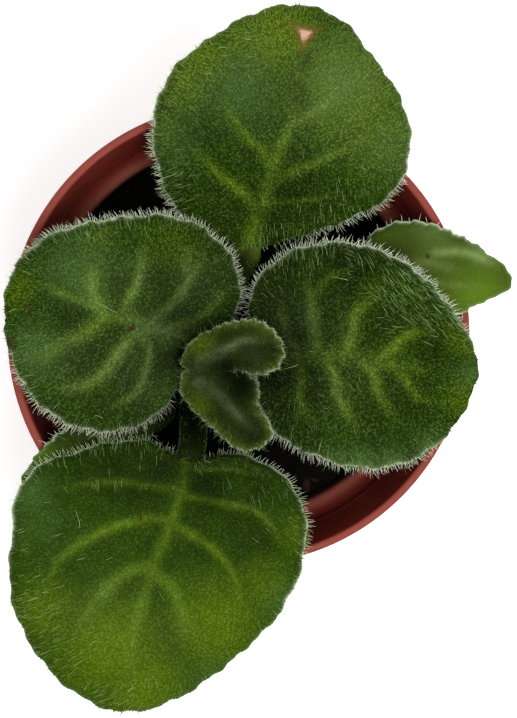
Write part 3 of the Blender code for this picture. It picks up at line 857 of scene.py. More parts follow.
def smooth_route(route, steps=6):
    """Closely set points on a smooth curve through a route's own points."""
    route = np.array(route, float)
    padded = np.concatenate([[2 * route[0] - route[1]], route, [2 * route[-1] - route[-2]]])
    t = np.linspace(0.0, 1.0, steps, endpoint=False)[:, None]
    runs = [curve_between(*padded[k : k + 4], t) for k in range(len(route) - 1)]
    return np.concatenate([*runs, route[-1:]])


def vein_segments(leaf):
    """Every vein as short straight pieces: start, end, half width and strength."""
    rows = []
    for vein in leaf.veins:
        line = smooth_route(vein.route)
        share = np.linspace(0.0, 1.0, len(line) - 1)
        widths = vein.width * np.interp(share, (0, 1), (1.0, 0.75))
        strengths = vein.strength * np.interp(share, (0, 0.35, 0.7, 1), (0.75, 1.0, 0.85, 0.1))
        rows.append((line[:-1], line[1:], widths, strengths))
    return (np.concatenate(values) for values in zip(*rows))


def vein_field(leaf, flat):
    """How much of a vein each place lies on, from 0 to 1, and how far it is from the nearest."""
    starts, ends, widths, strengths = vein_segments(leaf)
    along = ends - starts
    offset = flat[:, None] - starts
    share = np.clip((offset * along).sum(-1) / (along**2).sum(-1), 0.0, 1.0)
    away = np.linalg.norm(offset - share[..., None] * along, axis=-1)
    mask = (strengths * np.exp(-((away / widths) ** 2))).max(1)
    return mask, (away + 2.5 * (1.0 - strengths)).min(1)


def spot_mask(areas, flat):
    """The strongest of several soft spots at each place."""
    total = np.zeros(len(flat))
    for spot in areas:
        away = np.linalg.norm(flat - np.array(spot.place), axis=1) / spot.radius
        total = np.maximum(total, spot.strength * np.exp(-(away**2)))
    return total


def hair_lean(leaf, flat):
    """How far the margin is from each place, and the way its hairs lean: to the margin, or combed."""
    turn = np.linspace(0.0, math.tau, MARGIN_STEPS, endpoint=False)
    away = margin_point(leaf, turn)[None] - flat[:, None]
    squares = (away**2).sum(-1)
    nearest = squares.argmin(1)
    reach = np.sqrt(squares.min(1))
    tip = margin_point(leaf, 0.0) - np.array(leaf.base)
    way = unit(away[np.arange(len(flat)), nearest]) + HAIR_TIPWARD * unit(tip)
    for comb in leaf.combed:
        angle = math.radians(comb.heading)
        held = np.clip(1.6 * spot_mask([replace(comb, strength=1.0)], flat), 0.0, 1.0)[:, None]
        way = way * (1.0 - held) + held * np.array([math.cos(angle), math.sin(angle)])
    return reach, unit(way)


def scar_masks(leaf, flat):
    """A small dry wound: a triangular patch, its rusty halo and the crease that runs from it."""
    if not leaf.scar:
        return np.zeros((2, len(flat)))
    place, crease_end = np.array(leaf.scar)
    length = np.linalg.norm(crease_end - place)
    down = (crease_end - place) / length
    across = np.array([-down[1], down[0]])
    x, y = (flat - place) @ across, (flat - place) @ down
    inside = np.minimum(y + 0.75, (1.25 - y) * 0.62 - np.abs(x))
    wound = smooth(0.4 + inside / 0.6)
    halo = np.exp(-(np.maximum(-inside, 0.0) / 0.75) ** 2)
    crease = np.exp(-((x / 0.5) ** 2)) * smooth(y) * smooth((length - y) / 2.0)
    return wound, np.maximum(halo * (1 - wound), 0.5 * crease)


@dataclass
class Blade:
    """A blade's two faces as grids, with how far the margin is, the way its hairs lean and the
    masks its finish reads."""

    top: np.ndarray
    under: np.ndarray
    flat: np.ndarray
    to_margin: np.ndarray
    comb: np.ndarray
    masks: dict


def blade_surface(leaf, settings):
    """The blade at full detail. Grid lines run across it, from the right margin to the left."""
    stations, rows = leaf.grid
    station, across = np.meshgrid(
        np.linspace(0.0, 1.0, stations + 1), np.linspace(-1.0, 1.0, 2 * rows + 1), indexing="ij"
    )
    shape = station.shape
    row = 1.0 - (1.0 - np.abs(across)) ** MARGIN_CROWDING
    flat, turn, share, reach = blade_plan(leaf, across, station, row, settings.scallop / MM)
    places = flat.reshape(-1, 2)

    def mask(areas):
        return spot_mask(areas, places).reshape(shape)

    def bumps(cell, seed):
        spatial = np.concatenate([places, np.full((len(places), 1), leaf.seed * 3.0)], 1)
        return noise(spatial, cell, seed).reshape(shape)

    vein, away = (values.reshape(shape) for values in vein_field(leaf, places))
    inside_margin = (1.0 - row) * reach
    height = spine_height(leaf, share)
    height += (leaf.camber + leaf.cup * (1.0 - station) ** 2) * row**2
    height += leaf.fold * row * reach
    height += leaf.wave * row**3 * np.sin(leaf.wave_count * turn + leaf.heading)
    form = height.copy()
    dome = (1.0 - np.exp(-((away / VEIN_REACH) ** 2))) * (1.0 - row**4)
    height += settings.quilt / MM * leaf.quilt * dome
    height -= settings.vein_depth / MM * leaf.quilt * vein
    height += BROAD_BUMP * bumps(BROAD_CELL, leaf.seed) * (1.0 - row**6)
    height += FINE_BUMP * bumps(FINE_CELL, leaf.seed + 1)
    height -= settings.margin_curl / MM * np.exp(-((inside_margin / CURL_REACH) ** 2))
    for spot in leaf.dips:
        dip = mask([spot])
        height -= dip
        form -= dip

    back = np.array(leaf.back) / np.linalg.norm(leaf.back)
    through = settings.thickness / MM * (1.0 - 0.5 * row**10)
    top = np.dstack([flat, height])
    under_height = form + 0.55 * (height - form) - 0.3 * leaf.quilt * vein * (1.0 - row)
    under_height = np.minimum(under_height, height)
    under = np.dstack([flat, under_height]) + back * through[..., None]

    wound, halo = scar_masks(leaf, places)
    to_margin, comb = hair_lean(leaf, places)
    # Painted bluish sheen on slopes that face the bright surroundings.
    bloom = mask(leaf.bloom)
    base_shade = leaf.base_shade * (1.0 - smooth((share + 0.05) / 0.5)) * (1.0 - 0.5 * row)
    # Painted shade where leaves shadow each other and in hollows, at most DARKEST.
    dark = np.clip(0.65 * mask(leaf.dark), 0.0, DARKEST)
    fringe = 1.0 - 0.8 * smooth((station - leaf.bare_from) / 0.14)
    fringe = np.clip(fringe - mask(leaf.bare), 0.0, 1.0)
    band = leaf.band * fringe * np.exp(-((inside_margin / BAND_REACH) ** 2))
    # Painted shade in a band just inside the margin, where the blade curls down.
    shade_behind_rim = 0.35 * (leaf.band == 0) * fringe * np.exp(-(((inside_margin - 0.5) / 0.7) ** 2))
    shade_behind_rim = shade_behind_rim * (1.0 - bloom)
    # Painted shade deep in the crown: it dims the pale rim and darkens the hairs there.
    crowd = np.exp(-((np.linalg.norm(flat - np.array(CROWN), axis=-1) / CROWN_SHADE_REACH) ** 2))
    masks = {
        "vein": vein,
        "outer": row,
        "tone": np.maximum(mask(leaf.light), band),
        "silver": mask(leaf.silver) * (1.0 - band),
        "fringe": fringe,
        "edge": fringe * np.exp(-inside_margin / EDGE_REACH) * (1.0 - 0.75 * crowd),
        "crowd": crowd,
        "grain": leaf.grain * (1.0 - 0.45 * bloom),
        "shade": 1.0 - (1.0 - base_shade) * (1.0 - dark) * (1.0 - shade_behind_rim),
        "bloom": bloom,
        "combed": mask(leaf.combed),
        "speck": mask(leaf.specks),
        "wound": wound.reshape(shape),
        "halo": halo.reshape(shape),
    }
    return Blade(top, under, flat, to_margin, comb, masks)


def blade_shapes(blade):
    """The top face, the underside and the rounded margin between them."""
    lines, width = blade.top.shape[:2]
    cells = lines * width
    index = np.arange(cells).reshape(lines, width)
    index[[0, -1]] = index[[0, -1], width // 2][:, None]
    sides = [0, -1]
    middle = (blade.top[:, sides] + blade.under[:, sides]) / 2
    outward = np.zeros((lines, 2, 3))
    outward[..., :2] = blade.flat[:, sides] - blade.flat[:, [1, -2]]
    middle[1:-1] += MARGIN_ROUNDING * unit(outward)[1:-1]
    points = np.concatenate([part.reshape(-1, 3) for part in (blade.top, blade.under, middle)])
    masks = {
        key: np.concatenate([values.ravel(), values.ravel(), values[:, sides].ravel()])
        for key, values in blade.masks.items()
    }
    rim = 2 * cells + np.arange(2 * lines).reshape(lines, 2)
    rim[[0, -1]] = rim[[0, -1], :1]
    faces = [grid_triangles(index)]
    for column in sides:
        strip = np.stack([index[:, column], rim[:, column], index[:, column] + cells], 1)
        faces.append(grid_triangles(strip, flip=column == 0))
    return [
        Shape(points, np.concatenate(faces), 0, masks),
        Shape(points, grid_triangles(index + cells, flip=True), 1, masks),
    ]


def petiole_path(leaf, blade):
    """The petiole's middle line from the stem, on under the midrib, with its half sizes."""
    spine = blade.top[:, blade.top.shape[1] // 2]
    base = spine[0]
    if leaf.root_on_top:
        beside = np.array([*leaf.root_on_top, 0.0])
        root = np.array([*CROWN, leaf.root_height]) + beside
        rise, run_in, sink = UP, UPRIGHT_RUN_IN, 0.4
    else:
        turn = math.radians(leaf.root_turn)
        rise = np.array([math.cos(turn), math.sin(turn), 0.0])
        root = np.array([*CROWN, leaf.root_height]) + rise * (STEM_RADIUS - GAP)
        run_in, sink = PETIOLE_RUN_IN, 0.35 * leaf.petiole_depth
    stations = np.linspace(0.0, 1.0, len(spine))
    ahead = unit(along_line(0.2, stations, spine) - base)
    reach = np.linalg.norm(base - root)
    first = root + rise * reach * PETIOLE_SET_OUT
    last = base - ahead * reach * run_in
    sunk = base - UP * sink
    t = np.linspace(0.0, 1.0, PETIOLE_STEPS)[:, None]
    s = 1.0 - t
    stalk = root * s**3 + first * 3 * s**2 * t + last * 3 * s * t**2 + sunk * t**3

    further = np.linspace(RIB_START, RIB_END, RIB_STEPS)
    bends = (0.0, 0.3, RIB_END)
    rib = along_line(further, stations, spine)
    rib[:, 2] -= np.interp(further, bends, (sink + 0.25, 1.1, 0.9))
    path = np.concatenate([stalk, rib])
    flare = 1.0 + leaf.flare * smooth(np.linspace(-1.0, 1.0, len(stalk)))
    taper = np.interp(further, bends, (1.0 + leaf.flare, 0.66, 0.2))
    size = np.concatenate([flare, taper])
    swell = 1.0 + 0.12 * np.exp(-np.arange(len(path)) / 4.0)
    half_width = leaf.petiole_width / 2 * size * swell
    half_depth = np.maximum(leaf.petiole_depth / 2 * size * swell, 0.3)
    return path, half_width, half_depth


def petiole_shape(leaf, blade):
    """A fleshy tube with a shallow channel along its top."""
    path, half_width, half_depth = petiole_path(leaf, blade)
    ahead = unit(np.gradient(path, axis=0))
    across = level_left(ahead)
    if leaf.root_on_top:
        heading = math.radians(leaf.heading)
        across[:] = (-math.sin(heading), math.cos(heading), 0.0)
    across = unit(across)
    upward = unit(np.cross(ahead, across))
    turn = np.linspace(0.0, math.tau, PETIOLE_SIDES, endpoint=False)
    level, rise = np.cos(turn), np.sin(turn)
    channel = leaf.groove * np.exp(-((level / 0.42) ** 2)) * (rise > 0)
    ring = level[None, :, None] * half_width[:, None, None] * across[:, None]
    lift = rise[None] * half_depth[:, None] - channel[None] * (half_depth / half_depth[0])[:, None]
    points = path[:, None] + ring + lift[..., None] * upward[:, None]
    points += 0.05 * noise(points, 1.6, leaf.seed + 5)[..., None] * upward[:, None]
    lines, sides = points.shape[:2]
    index = ring_index(lines, sides)
    start, end = (np.full(sides, lines * sides + k) for k in (0, 1))
    caps = [
        np.stack([start, index[0, :-1], index[0, 1:]], 1),
        np.stack([end, index[-1, 1:], index[-1, :-1]], 1),
    ]
    triangles = np.concatenate([grid_triangles(index), *caps])
    all_points = np.concatenate([points.reshape(-1, 3), path[[0, -1]]])
    along = np.repeat(np.linspace(0.0, 1.0, lines), sides)
    shade = np.minimum(leaf.stalk_shade * (1.0 - smooth((along - 0.5) / 0.5)), DARKEST)
    # Pale sides where the hairs are seen edge-on: partly pale hair, partly a painted sheen, dimmed by the
    # painted shade.
    edge = np.tile(smooth((np.abs(level) - 0.9) / 0.1), lines) * (1.0 - shade)
    masks = {
        "vein": np.append(np.tile(np.exp(-((level / 0.6) ** 2)) * (rise > 0), lines), [0, 0]),
        "shade": np.append(shade, [0.75, 0.0]),
        "tone": leaf.stalk,
        "edge": np.append(1.2 * leaf.margin_hairs * (1.0 - leaf.stalk) * edge, [0, 0]),
    }
    return Shape(all_points, triangles, 2, masks)


class Nodes:
    """Adds shader nodes to a tree and joins them."""

    def __init__(self, tree):
        self.tree = tree

    def add(self, kind, values=(), **settings):
        """A node of one kind, with its own settings and its sockets filled."""
        node = self.tree.nodes.new(kind)
        for key, value in settings.items():
            setattr(node, key, value)
        self.fill(node, dict(values))
        return node

    def fill(self, node, values):
        """Sets sockets, by name or number, to numbers and colours, or joins them to outputs."""
        for key, value in values.items():
            socket = node.inputs[key]
            if isinstance(value, bpy.types.NodeSocket):
                self.tree.links.new(value, socket)
            elif socket.type == "RGBA" and len(value) == 3:
                socket.default_value = (*value, 1.0)
            else:
                socket.default_value = value

    def plus(self, first, second):
        return self.add("ShaderNodeMath", {0: first, 1: second}).outputs[0]

    def times(self, first, second):
        return self.add("ShaderNodeMath", {0: first, 1: second}, operation="MULTIPLY").outputs[0]

    def vectors(self, operation, *values):
        return self.add("ShaderNodeVectorMath", dict(enumerate(values)), operation=operation).outputs

    def spread(self, value, low, high, out_low=0.0, out_high=1.0):
        """Value from low..high, as a share held within out_low..out_high."""
        values = dict(enumerate((value, low, high, out_low, out_high)))
        return self.add("ShaderNodeMapRange", values).outputs[0]

    def mix(self, share, first, second, blend="MIX"):
        """Two colours mixed. The Mix node's colours are its sockets 6 and 7, and its output 2."""
        values = {0: share, 6: first, 7: second}
        return self.add("ShaderNodeMix", values, data_type="RGBA", blend_type=blend).outputs[2]

    def tinted(self, tone, tint):
        return self.mix(1.0, tone, tint, "MULTIPLY")

    def mask(self, name):
        return self.add("ShaderNodeAttribute", attribute_name=name).outputs["Fac"]

    def place(self):
        return self.add("ShaderNodeTexCoord").outputs["Object"]

    def noise(self, place, scale, detail=3.0, rough=0.5):
        values = {"Vector": place, "Scale": scale, "Detail": detail, "Roughness": rough}
        return self.add("ShaderNodeTexNoise", values).outputs[0]

    def bump(self, height, distance):
        return self.add("ShaderNodeBump", {"Height": height, "Distance": distance}).outputs[0]

    def group(self, tree, values):
        return self.add("ShaderNodeGroup", values, node_tree=tree).outputs


def new_group(name, colours, numbers, outputs):
    """An empty shader group. colours and numbers are its inputs, each with a default, and outputs
    are names of numbers, after "Colour"."""
    tree = bpy.data.node_groups.new(name, "ShaderNodeTree")
    for inputs, kind in ((colours, "NodeSocketColor"), (numbers, "NodeSocketFloat")):
        for label, default in inputs.items():
            socket = tree.interface.new_socket(name=label, in_out="INPUT", socket_type=kind)
            socket.default_value = (*default, 1.0) if inputs is colours else default
    for label in ("Colour", *outputs):
        kind = "NodeSocketColor" if label == "Colour" else "NodeSocketFloat"
        tree.interface.new_socket(name=label, in_out="OUTPUT", socket_type=kind)
    nodes = Nodes(tree)
    return tree, nodes, nodes.add("NodeGroupInput").outputs, nodes.add("NodeGroupOutput")


def skin_group():
    """The plant's skin: broad tone and painted shade from the masks, fine pebbles with painted shade
    in their gaps and painted light and glints on their tops, and their bump height.
    """
    found = bpy.data.node_groups.get("Plant skin")
    if found:
        return found
    colours = {**dict.fromkeys(SKIN_TONES, (0.5, 0.5, 0.5)), "Tint": WHITE}
    numbers = {"Pebble scale": 1600.0, "Pebbling": 1.0}
    tree, n, given, out = new_group("Plant skin", colours, numbers, ("Roughness", "Height"))
    place = n.place()
    fine = n.noise(place, 1100.0, 2.0)
    broad = n.noise(place, 260.0, 4.0)
    patchy = n.times(n.spread(fine, 0.3, 0.7, 0.7, 1.0), n.spread(broad, 0.35, 0.6, 0.6, 1.0))
    vein = n.times(n.mask("vein"), patchy)
    silver = n.mask("silver")
    cells = n.add("ShaderNodeTexVoronoi", {"Vector": place, "Scale": given["Pebble scale"]})
    pebble = n.spread(cells.outputs["Distance"], 0.15, 0.65, 1.0, 0.0)
    plain = n.spread(n.plus(vein, n.times(silver, 0.5)), 0.0, 1.0, 1.0, 0.5)
    contrast = n.times(n.times(given["Pebbling"], plain), n.mask("grain"))

    ripe = n.mask("tone")
    level = n.plus(n.spread(broad, 0.3, 0.7, 0.1, 0.6), n.times(n.mask("outer"), 0.2))
    level = n.spread(n.plus(level, n.times(ripe, 0.5)), 0.0, 1.0)
    tone = n.mix(level, given["Deep"], given["Light"])
    tone = n.mix(n.spread(ripe, 0.15, 1.0, 0.0, 0.85), tone, given["Tip"])
    # Painted bluish sheen.
    tone = n.mix(n.times(n.mask("bloom"), 0.8), tone, given["Bloom"])
    tone = n.mix(vein, tone, given["Vein"])
    tone = n.mix(n.times(silver, n.spread(vein, 0.0, 0.8, 0.22, 1.0)), tone, given["Silver"])
    # Painted shade in the gaps between the pebbles and painted light on their tops.
    shaded_gap = n.mix(contrast, tone, n.tinted(tone, (0.3, 0.34, 0.3)))
    top = n.mix(contrast, tone, n.tinted(tone, (1.35, 1.3, 1.15)))
    tone = n.mix(pebble, shaded_gap, top)
    glint = n.times(n.spread(pebble, 0.6, 1.0, 0.0, 0.05), contrast)
    tone = n.tinted(n.mix(glint, tone, colour("c4d0b8")), given["Tint"])
    tone = n.mix(n.mask("shade"), tone, n.tinted(tone, (0.12, 0.14, 0.14)))
    for mask, share, code in (("edge", 0.75, "acbc98"), ("halo", 0.8, "6e4c20"), ("wound", 0.9, "c89a84")):
        tone = n.mix(n.times(n.mask(mask), share), tone, colour(code))
    speck = n.times(n.mask("speck"), n.spread(fine, 0.35, 0.6, 0.45, 1.3))
    tone = n.mix(n.spread(speck, 0.3, 0.7, 0.0, 0.85), tone, colour("2e1c0b"))
    height = n.plus(n.times(pebble, contrast), n.times(fine, 0.4))
    roughness = n.spread(pebble, 0.0, 1.0, 0.66, 0.5)
    n.fill(out, {"Colour": tone, "Roughness": roughness, "Height": height})
    return tree


def mottle_group():
    """Slow and fine tone changes between two colours, and a grain for bump."""
    found = bpy.data.node_groups.get("Mottle")
    if found:
        return found
    colours = {"First": (0.2, 0.2, 0.2), "Second": (0.4, 0.4, 0.4)}
    tree, n, given, out = new_group("Mottle", colours, {"Scale": 100.0, "Bias": 0.0}, ("Grain",))
    place = n.place()
    slow = n.noise(place, given["Scale"], 4.0, 0.6)
    grain = n.noise(place, n.times(given["Scale"], 9.0), 3.0, 0.6)
    share = n.plus(n.spread(slow, 0.3, 0.7), given["Bias"])
    share = n.plus(share, n.spread(grain, 0.2, 0.8, -0.15, 0.15))
    tone = n.mix(n.spread(share, 0.0, 1.0), given["First"], given["Second"])
    n.fill(out, {"Colour": tone, "Grain": grain})
    return tree


def new_material(name):
    """A material with a bare Principled shader. Returns it, its nodes and the shader."""
    material = bpy.data.materials.new(name)
    material.use_nodes = True
    shader = material.node_tree.nodes["Principled BSDF"]
    return material, Nodes(material.node_tree), shader


def skin_material(slot, part, pebble):
    """One face of the leaves in one slot: "upper", "under" or "stalk"."""
    name = f"{slot}_{part}"
    found = bpy.data.materials.get(name)
    if found:
        return found
    material, n, shader = new_material(name)
    tones = LEAF_COLOURS[slot]
    values = {key: tones[key] for key in SKIN_TONES}
    values["Pebbling"] = PEBBLING[slot]
    if part == "under":
        under = np.array(tones["Under"])
        values = dict.fromkeys(SKIN_TONES, tones["Under"])
        values.update({"Deep": tuple(under * 0.8), "Vein": tuple(under * 1.25), "Pebbling": 0.4})
    elif part == "stalk":
        values = dict.fromkeys(SKIN_TONES, tones["Stalk"])
        values.update({"Tip": tones["Ripe stalk"], "Pebbling": 0.5})
    skin = n.group(skin_group(), {**values, "Pebble scale": 1.0 / pebble})
    relief = n.bump(skin["Height"], 0.0001 if part == "upper" else 0.00005)
    given = {"Base Color": skin["Colour"], "Roughness": skin["Roughness"], "Normal": relief}
    n.fill(shader, {**given, "Specular IOR Level": 0.03})
    return material


def hair_material(slot, settings):
    """Hairs that take the green of the skin below them, paler and then silver by their mask, and
    darkened by painted shade near the crown.
    """
    name = f"{slot}_hair"
    found = bpy.data.materials.get(name)
    if found:
        return found
    material, n, shader = new_material(name)
    values = {key: LEAF_COLOURS[slot][key] for key in SKIN_TONES}
    skin = n.group(skin_group(), {**values, "Tint": HAIR_TINT, "Pebbling": 0.0})
    pale = n.mask("pale")
    tone = n.mix(n.spread(pale, 0.0, 0.5), skin["Colour"], tuple(settings.fresh))
    tone = n.mix(n.spread(pale, 0.5, 1.0), tone, tuple(settings.silver))
    # Painted shade on the hairs near the crown.
    tone = n.mix(n.times(n.mask("crowd"), 0.7), tone, colour("26301a"))
    n.fill(shader, {"Base Color": tone, "Roughness": 0.7, "Specular IOR Level": 0.02})
    return material


def face_hairs(leaf, blade, settings, rng):
    """Short bristles all over the top face, and long pale hairs by the margin and where combed."""
    lines, width = blade.top.shape[:2]
    points = blade.top.reshape(-1, 3)
    triangles = grid_triangles(np.arange(lines * width).reshape(lines, width))
    normals = vertex_normals(points, triangles)
    comb = np.concatenate([blade.comb, np.zeros((len(points), 1))], 1)
    masks = {key: values.ravel() for key, values in blade.masks.items()}
    near_margin = np.exp(-((blade.to_margin / HAIRY_REACH) ** 2))
    uneven = 1.0 + 0.3 * noise(points, 2.3, leaf.seed + 9)
    grown = leaf.hairs * (1.0 - masks["wound"]) * (masks["shade"] < 0.7) * uneven
    short = settings.bristles * grown * (1.0 - 0.35 * masks["vein"]) * (1.0 - 0.3 * masks["silver"])
    crowding = 0.02 + 2.8 * near_margin * masks["fringe"] + 2.0 * masks["combed"]
    long = settings.face_density * grown * crowding
    shapes = []
    for density, lean, length, thick, rings, pale in (
        (short, 0.9, settings.bristle_length, settings.bristle, 1, 0.004),
        (long, 1.25, settings.face_length, settings.width, 3, 0.3),
    ):
        places = scatter(points, triangles, density, rng)
        count = len(places[0])
        leans = (lean + rng.normal(0.0, 0.15, count))[:, None]
        along = at_places(comb, places)
        ways = at_places(normals, places) * np.cos(leans) + along * np.sin(leans)
        ways = unit(ways + rng.normal(0.0, 0.13, (count, 3)))
        bends = along * 0.15 + rng.normal(0.0, 0.08, (count, 3))
        lengths = length / MM * rng.uniform(0.45, 1.0, count)
        pales = np.clip(rng.normal(pale, 0.5 * pale, count), 0.0, 0.6)
        below = {key: at_places(masks[key], places) for key in HAIR_MASKS}
        roots = at_places(points, places)
        shapes.append(needles(roots, ways, bends, lengths, thick / MM, rings, pales, below=below))
    return shapes


def margin_hairs(leaf, blade, settings, rng):
    """The fringe: long and short hairs that stand out all along the margin."""
    shapes = []
    width = 1.2 * settings.width / MM
    longest = settings.margin_length / MM * leaf.margin_length
    for column in (0, -1):
        line = (blade.top[:, column] + blade.under[:, column]) / 2
        ahead = unit(np.gradient(line, axis=0))
        outward = level_left(ahead) * (1 if column else -1)
        travelled = np.append(0.0, np.cumsum(np.linalg.norm(np.diff(line, axis=0), axis=1)))
        fringe, crowd = (blade.masks[key][:, column] for key in ("fringe", "crowd"))
        for share, low, high, rings in ((0.45, 0.5, 1.0, 3), (0.55, 0.16, 0.32, 1)):
            count = int(travelled[-1] * settings.margin_density * share * leaf.margin_hairs)
            where = (np.arange(count) + 0.8 * rng.random(count)) / count * travelled[-1]
            where = where[rng.random(count) < np.interp(where, travelled, fringe)]
            count = len(where)
            roots, out, on = (along_line(where, travelled, v) for v in (line, outward, ahead))
            out = unit(out)
            swing = rng.normal(0.12, 0.25, count)[:, None]
            lift = rng.normal(0.3, 0.25, count)[:, None]
            ways = unit(out + on * swing + UP * lift)
            bends = on * 0.12 - UP * 0.2 + rng.normal(0.0, 0.12, (count, 3))
            lengths = longest * rng.uniform(low, high, count)
            roots = roots - out * HAIR_SINK + UP * rng.uniform(-0.1, 0.2, count)[:, None]
            pale = np.clip(rng.normal(leaf.fringe_pale, 0.1, count), 0.0, 1.0)
            # The hairs take the painted shade near the crown.
            below = {"crowd": np.interp(where, travelled, crowd)}
            shapes.append(needles(roots, ways, bends, lengths, width, rings, pale, 0.9, below))
    return shapes


def surface_hairs(shape, density, length, pale, width, rng):
    """Short hairs standing off any shape, such as a petiole or an underside."""
    normals = vertex_normals(shape.points, shape.triangles)
    places = scatter(shape.points, shape.triangles, density, rng)
    count = len(places[0])
    ways = unit(at_places(normals, places) + rng.normal(0.0, 0.25, (count, 3)))
    bends = rng.normal(0.0, 0.15, (count, 3)) - UP * 0.08
    lengths = length * (0.6 + 0.8 * rng.random(count))
    tones = np.clip(rng.normal(pale, 0.12, count), 0.0, 1.0)
    return needles(at_places(shape.points, places), ways, bends, lengths, width, 2, tones)


def stray_hairs(leaf, blade, settings, rng):
    """A few long pale hairs lying loose on the top face."""
    lines, width = blade.top.shape[:2]
    count = leaf.strays
    i = rng.integers(lines // 4, lines - 6, count)
    j = rng.integers(4, width - 4, count)
    roots = blade.top[i, j] + UP * 0.35
    turn = rng.random(count) * math.tau
    ways = np.stack([np.cos(turn), np.sin(turn), np.full(count, 0.05)], 1)
    bends = rng.normal(0.0, 0.7, (count, 3)) * np.array([1.0, 1.0, 0.1])
    lengths = rng.uniform(0.8, 1.8, count)
    return needles(roots, ways, bends, lengths, settings.width / MM, 3, np.full(count, 0.75))


def rings_round(radius, sides):
    """The x and y of points all round rings of these radii."""
    turn = np.linspace(0.0, math.tau, sides, endpoint=False)
    return radius[:, None] * np.cos(turn), radius[:, None] * np.sin(turn)


def turned_body(x, y, z):
    """A closed body from rings of points that start and end on the axis."""
    points = np.stack([x, y, z], -1).reshape(-1, 3)
    return Shape(points, grid_triangles(ring_index(*z.shape, poles=True), flip=True))


def rounded(corners, steps=5):
    """A profile whose corners, each (radius, height, rounding), are turned into arcs."""
    places = [np.array(corner[:2], float) for corner in corners]
    made = [places[0]]
    for k in range(1, len(corners) - 1):
        before, here, after = places[k - 1 : k + 2]
        nearest = min(np.linalg.norm(before - here), np.linalg.norm(after - here))
        reach = min(corners[k][2], 0.45 * nearest)
        start = here + unit(before - here) * reach
        end = here + unit(after - here) * reach
        for t in np.linspace(0.0, 1.0, steps) if reach > 0 else (0.5,):
            made.append(start * (1 - t) ** 2 + here * 2 * t * (1 - t) + end * t**2)
    return np.array([*made, places[-1]])


def pot_shape(settings):
    """The pot turned from its profile: up the outside from the base, over the lip and down the
    inside, past a moulded line and the step."""
    height, rim = POT_HIGH.z / MM, POT_HIGH.x / MM
    wall = settings.wall / MM
    collar_foot = height - settings.collar_depth / MM
    step_foot = collar_foot - STEP_DROP
    lip_inner = rim - settings.lip_width / MM
    line = height - LINE_DEPTH
    lean = (lip_inner - COLLAR_INNER_RADIUS) / (height - collar_foot)
    line_radius = COLLAR_INNER_RADIUS + (line - collar_foot) * lean
    corners = [
        (0.0, 0.0, 0),
        (BASE_RADIUS - 3.0, 0.0, 0),
        (BASE_RADIUS, 0.0, 0.9),
        (WALL_RADIUS, step_foot, 0.5),
        (COLLAR_RADIUS, collar_foot - 0.8, 0.5),
        (COLLAR_RADIUS, collar_foot, 0.2),
        (COLLAR_TOP_RADIUS, height - 2.1, 0.3),
        (rim, height - 1.6, 0.3),
        (rim, height, 0.45),
        (lip_inner, height, 0.4),
        (line_radius + 0.07, line + 0.4, 0.1),
        (line_radius - 0.14, line, 0.12),
        (line_radius - 0.06, line - 0.4, 0.1),
        (COLLAR_RADIUS - wall, collar_foot + 0.3, 0.7),
        (WALL_RADIUS - wall, step_foot, 1.0),
        (BASE_RADIUS - wall, BASE_THICKNESS, 0.8),
        (0.0, BASE_THICKNESS, 0),
    ]
    profile = rounded(corners)
    x, y = rings_round(profile[:, 0], POT_SIDES)
    return turned_body(x, y, np.repeat(profile[:, 1:], POT_SIDES, axis=1))


def plastic_material(settings):
    """Satin moulded plastic, paler where it is rubbed and with a painted highlight on the lip, with
    dust and water marks. Inside, a painted highlight on the step, painted shade below it down to
    the mix and a painted shadow at the lower left.
    """
    material, n, shader = new_material("pot_plastic_satin")
    place = n.place()
    height = n.add("ShaderNodeSeparateXYZ", {0: place}).outputs[2]

    def below_rim(low, high, *shares):
        """How far down a place is, from one depth under the rim to another."""
        return n.spread(height, POT_HIGH.z - low, POT_HIGH.z - high, *shares)

    plastic, worn = tuple(settings.plastic), tuple(settings.worn)
    tones = n.group(mottle_group(), {"First": plastic, "Second": worn, "Scale": 60.0, "Bias": -0.35})
    # Paler on the lip: rubbed plastic and a painted highlight.
    tone = n.mix(n.times(below_rim(0.0005, 0.0001), 0.6), tones["Colour"], worn)
    level = n.vectors("MULTIPLY_ADD", place, (1.0, 1.0, 0.0), (0.0, 0.0, -0.02))[0]
    facing = n.add("ShaderNodeTexCoord").outputs["Normal"]
    inside = n.spread(n.vectors("DOT_PRODUCT", facing, level)["Value"], 0.0, 0.01, 1.0, 0.0)
    # Painted shadow on the inner wall toward the lower left, where a leaf shades it.
    toward = n.vectors("DOT_PRODUCT", place, (-0.88, -0.47, 0.0))["Value"]
    painted_shadow = n.times(n.spread(toward, 0.031, 0.0335, 0.0, 0.85), below_rim(0.0015, 0.0005, 1.0, 0.0))
    # On the inside faces: a painted highlight on the step's shoulder, painted shade down the wall below
    # it, and the painted shadow.
    for share, painted_tone in (
        (below_rim(0.0122, 0.0132, 0.0, 0.65), colour("a45c4e")),
        (below_rim(0.0155, 0.0138, 0.9, 0.0), SHADE_BROWN),
        (painted_shadow, SHADE_BROWN),
    ):
        tone = n.mix(n.times(share, inside), tone, painted_tone)
    marks = n.noise(place, 380.0, 5.0, 0.7)
    tone = n.mix(n.times(n.spread(marks, 0.58, 0.74), 0.1), tone, colour("9a7060"))
    roughness = n.spread(marks, 0.3, 0.75, 0.5, 0.7)
    given = {"Base Color": tone, "Roughness": roughness, "Normal": n.bump(tones["Grain"], 0.00003)}
    n.fill(shader, {**given, "Specular IOR Level": 0.2})
    return material


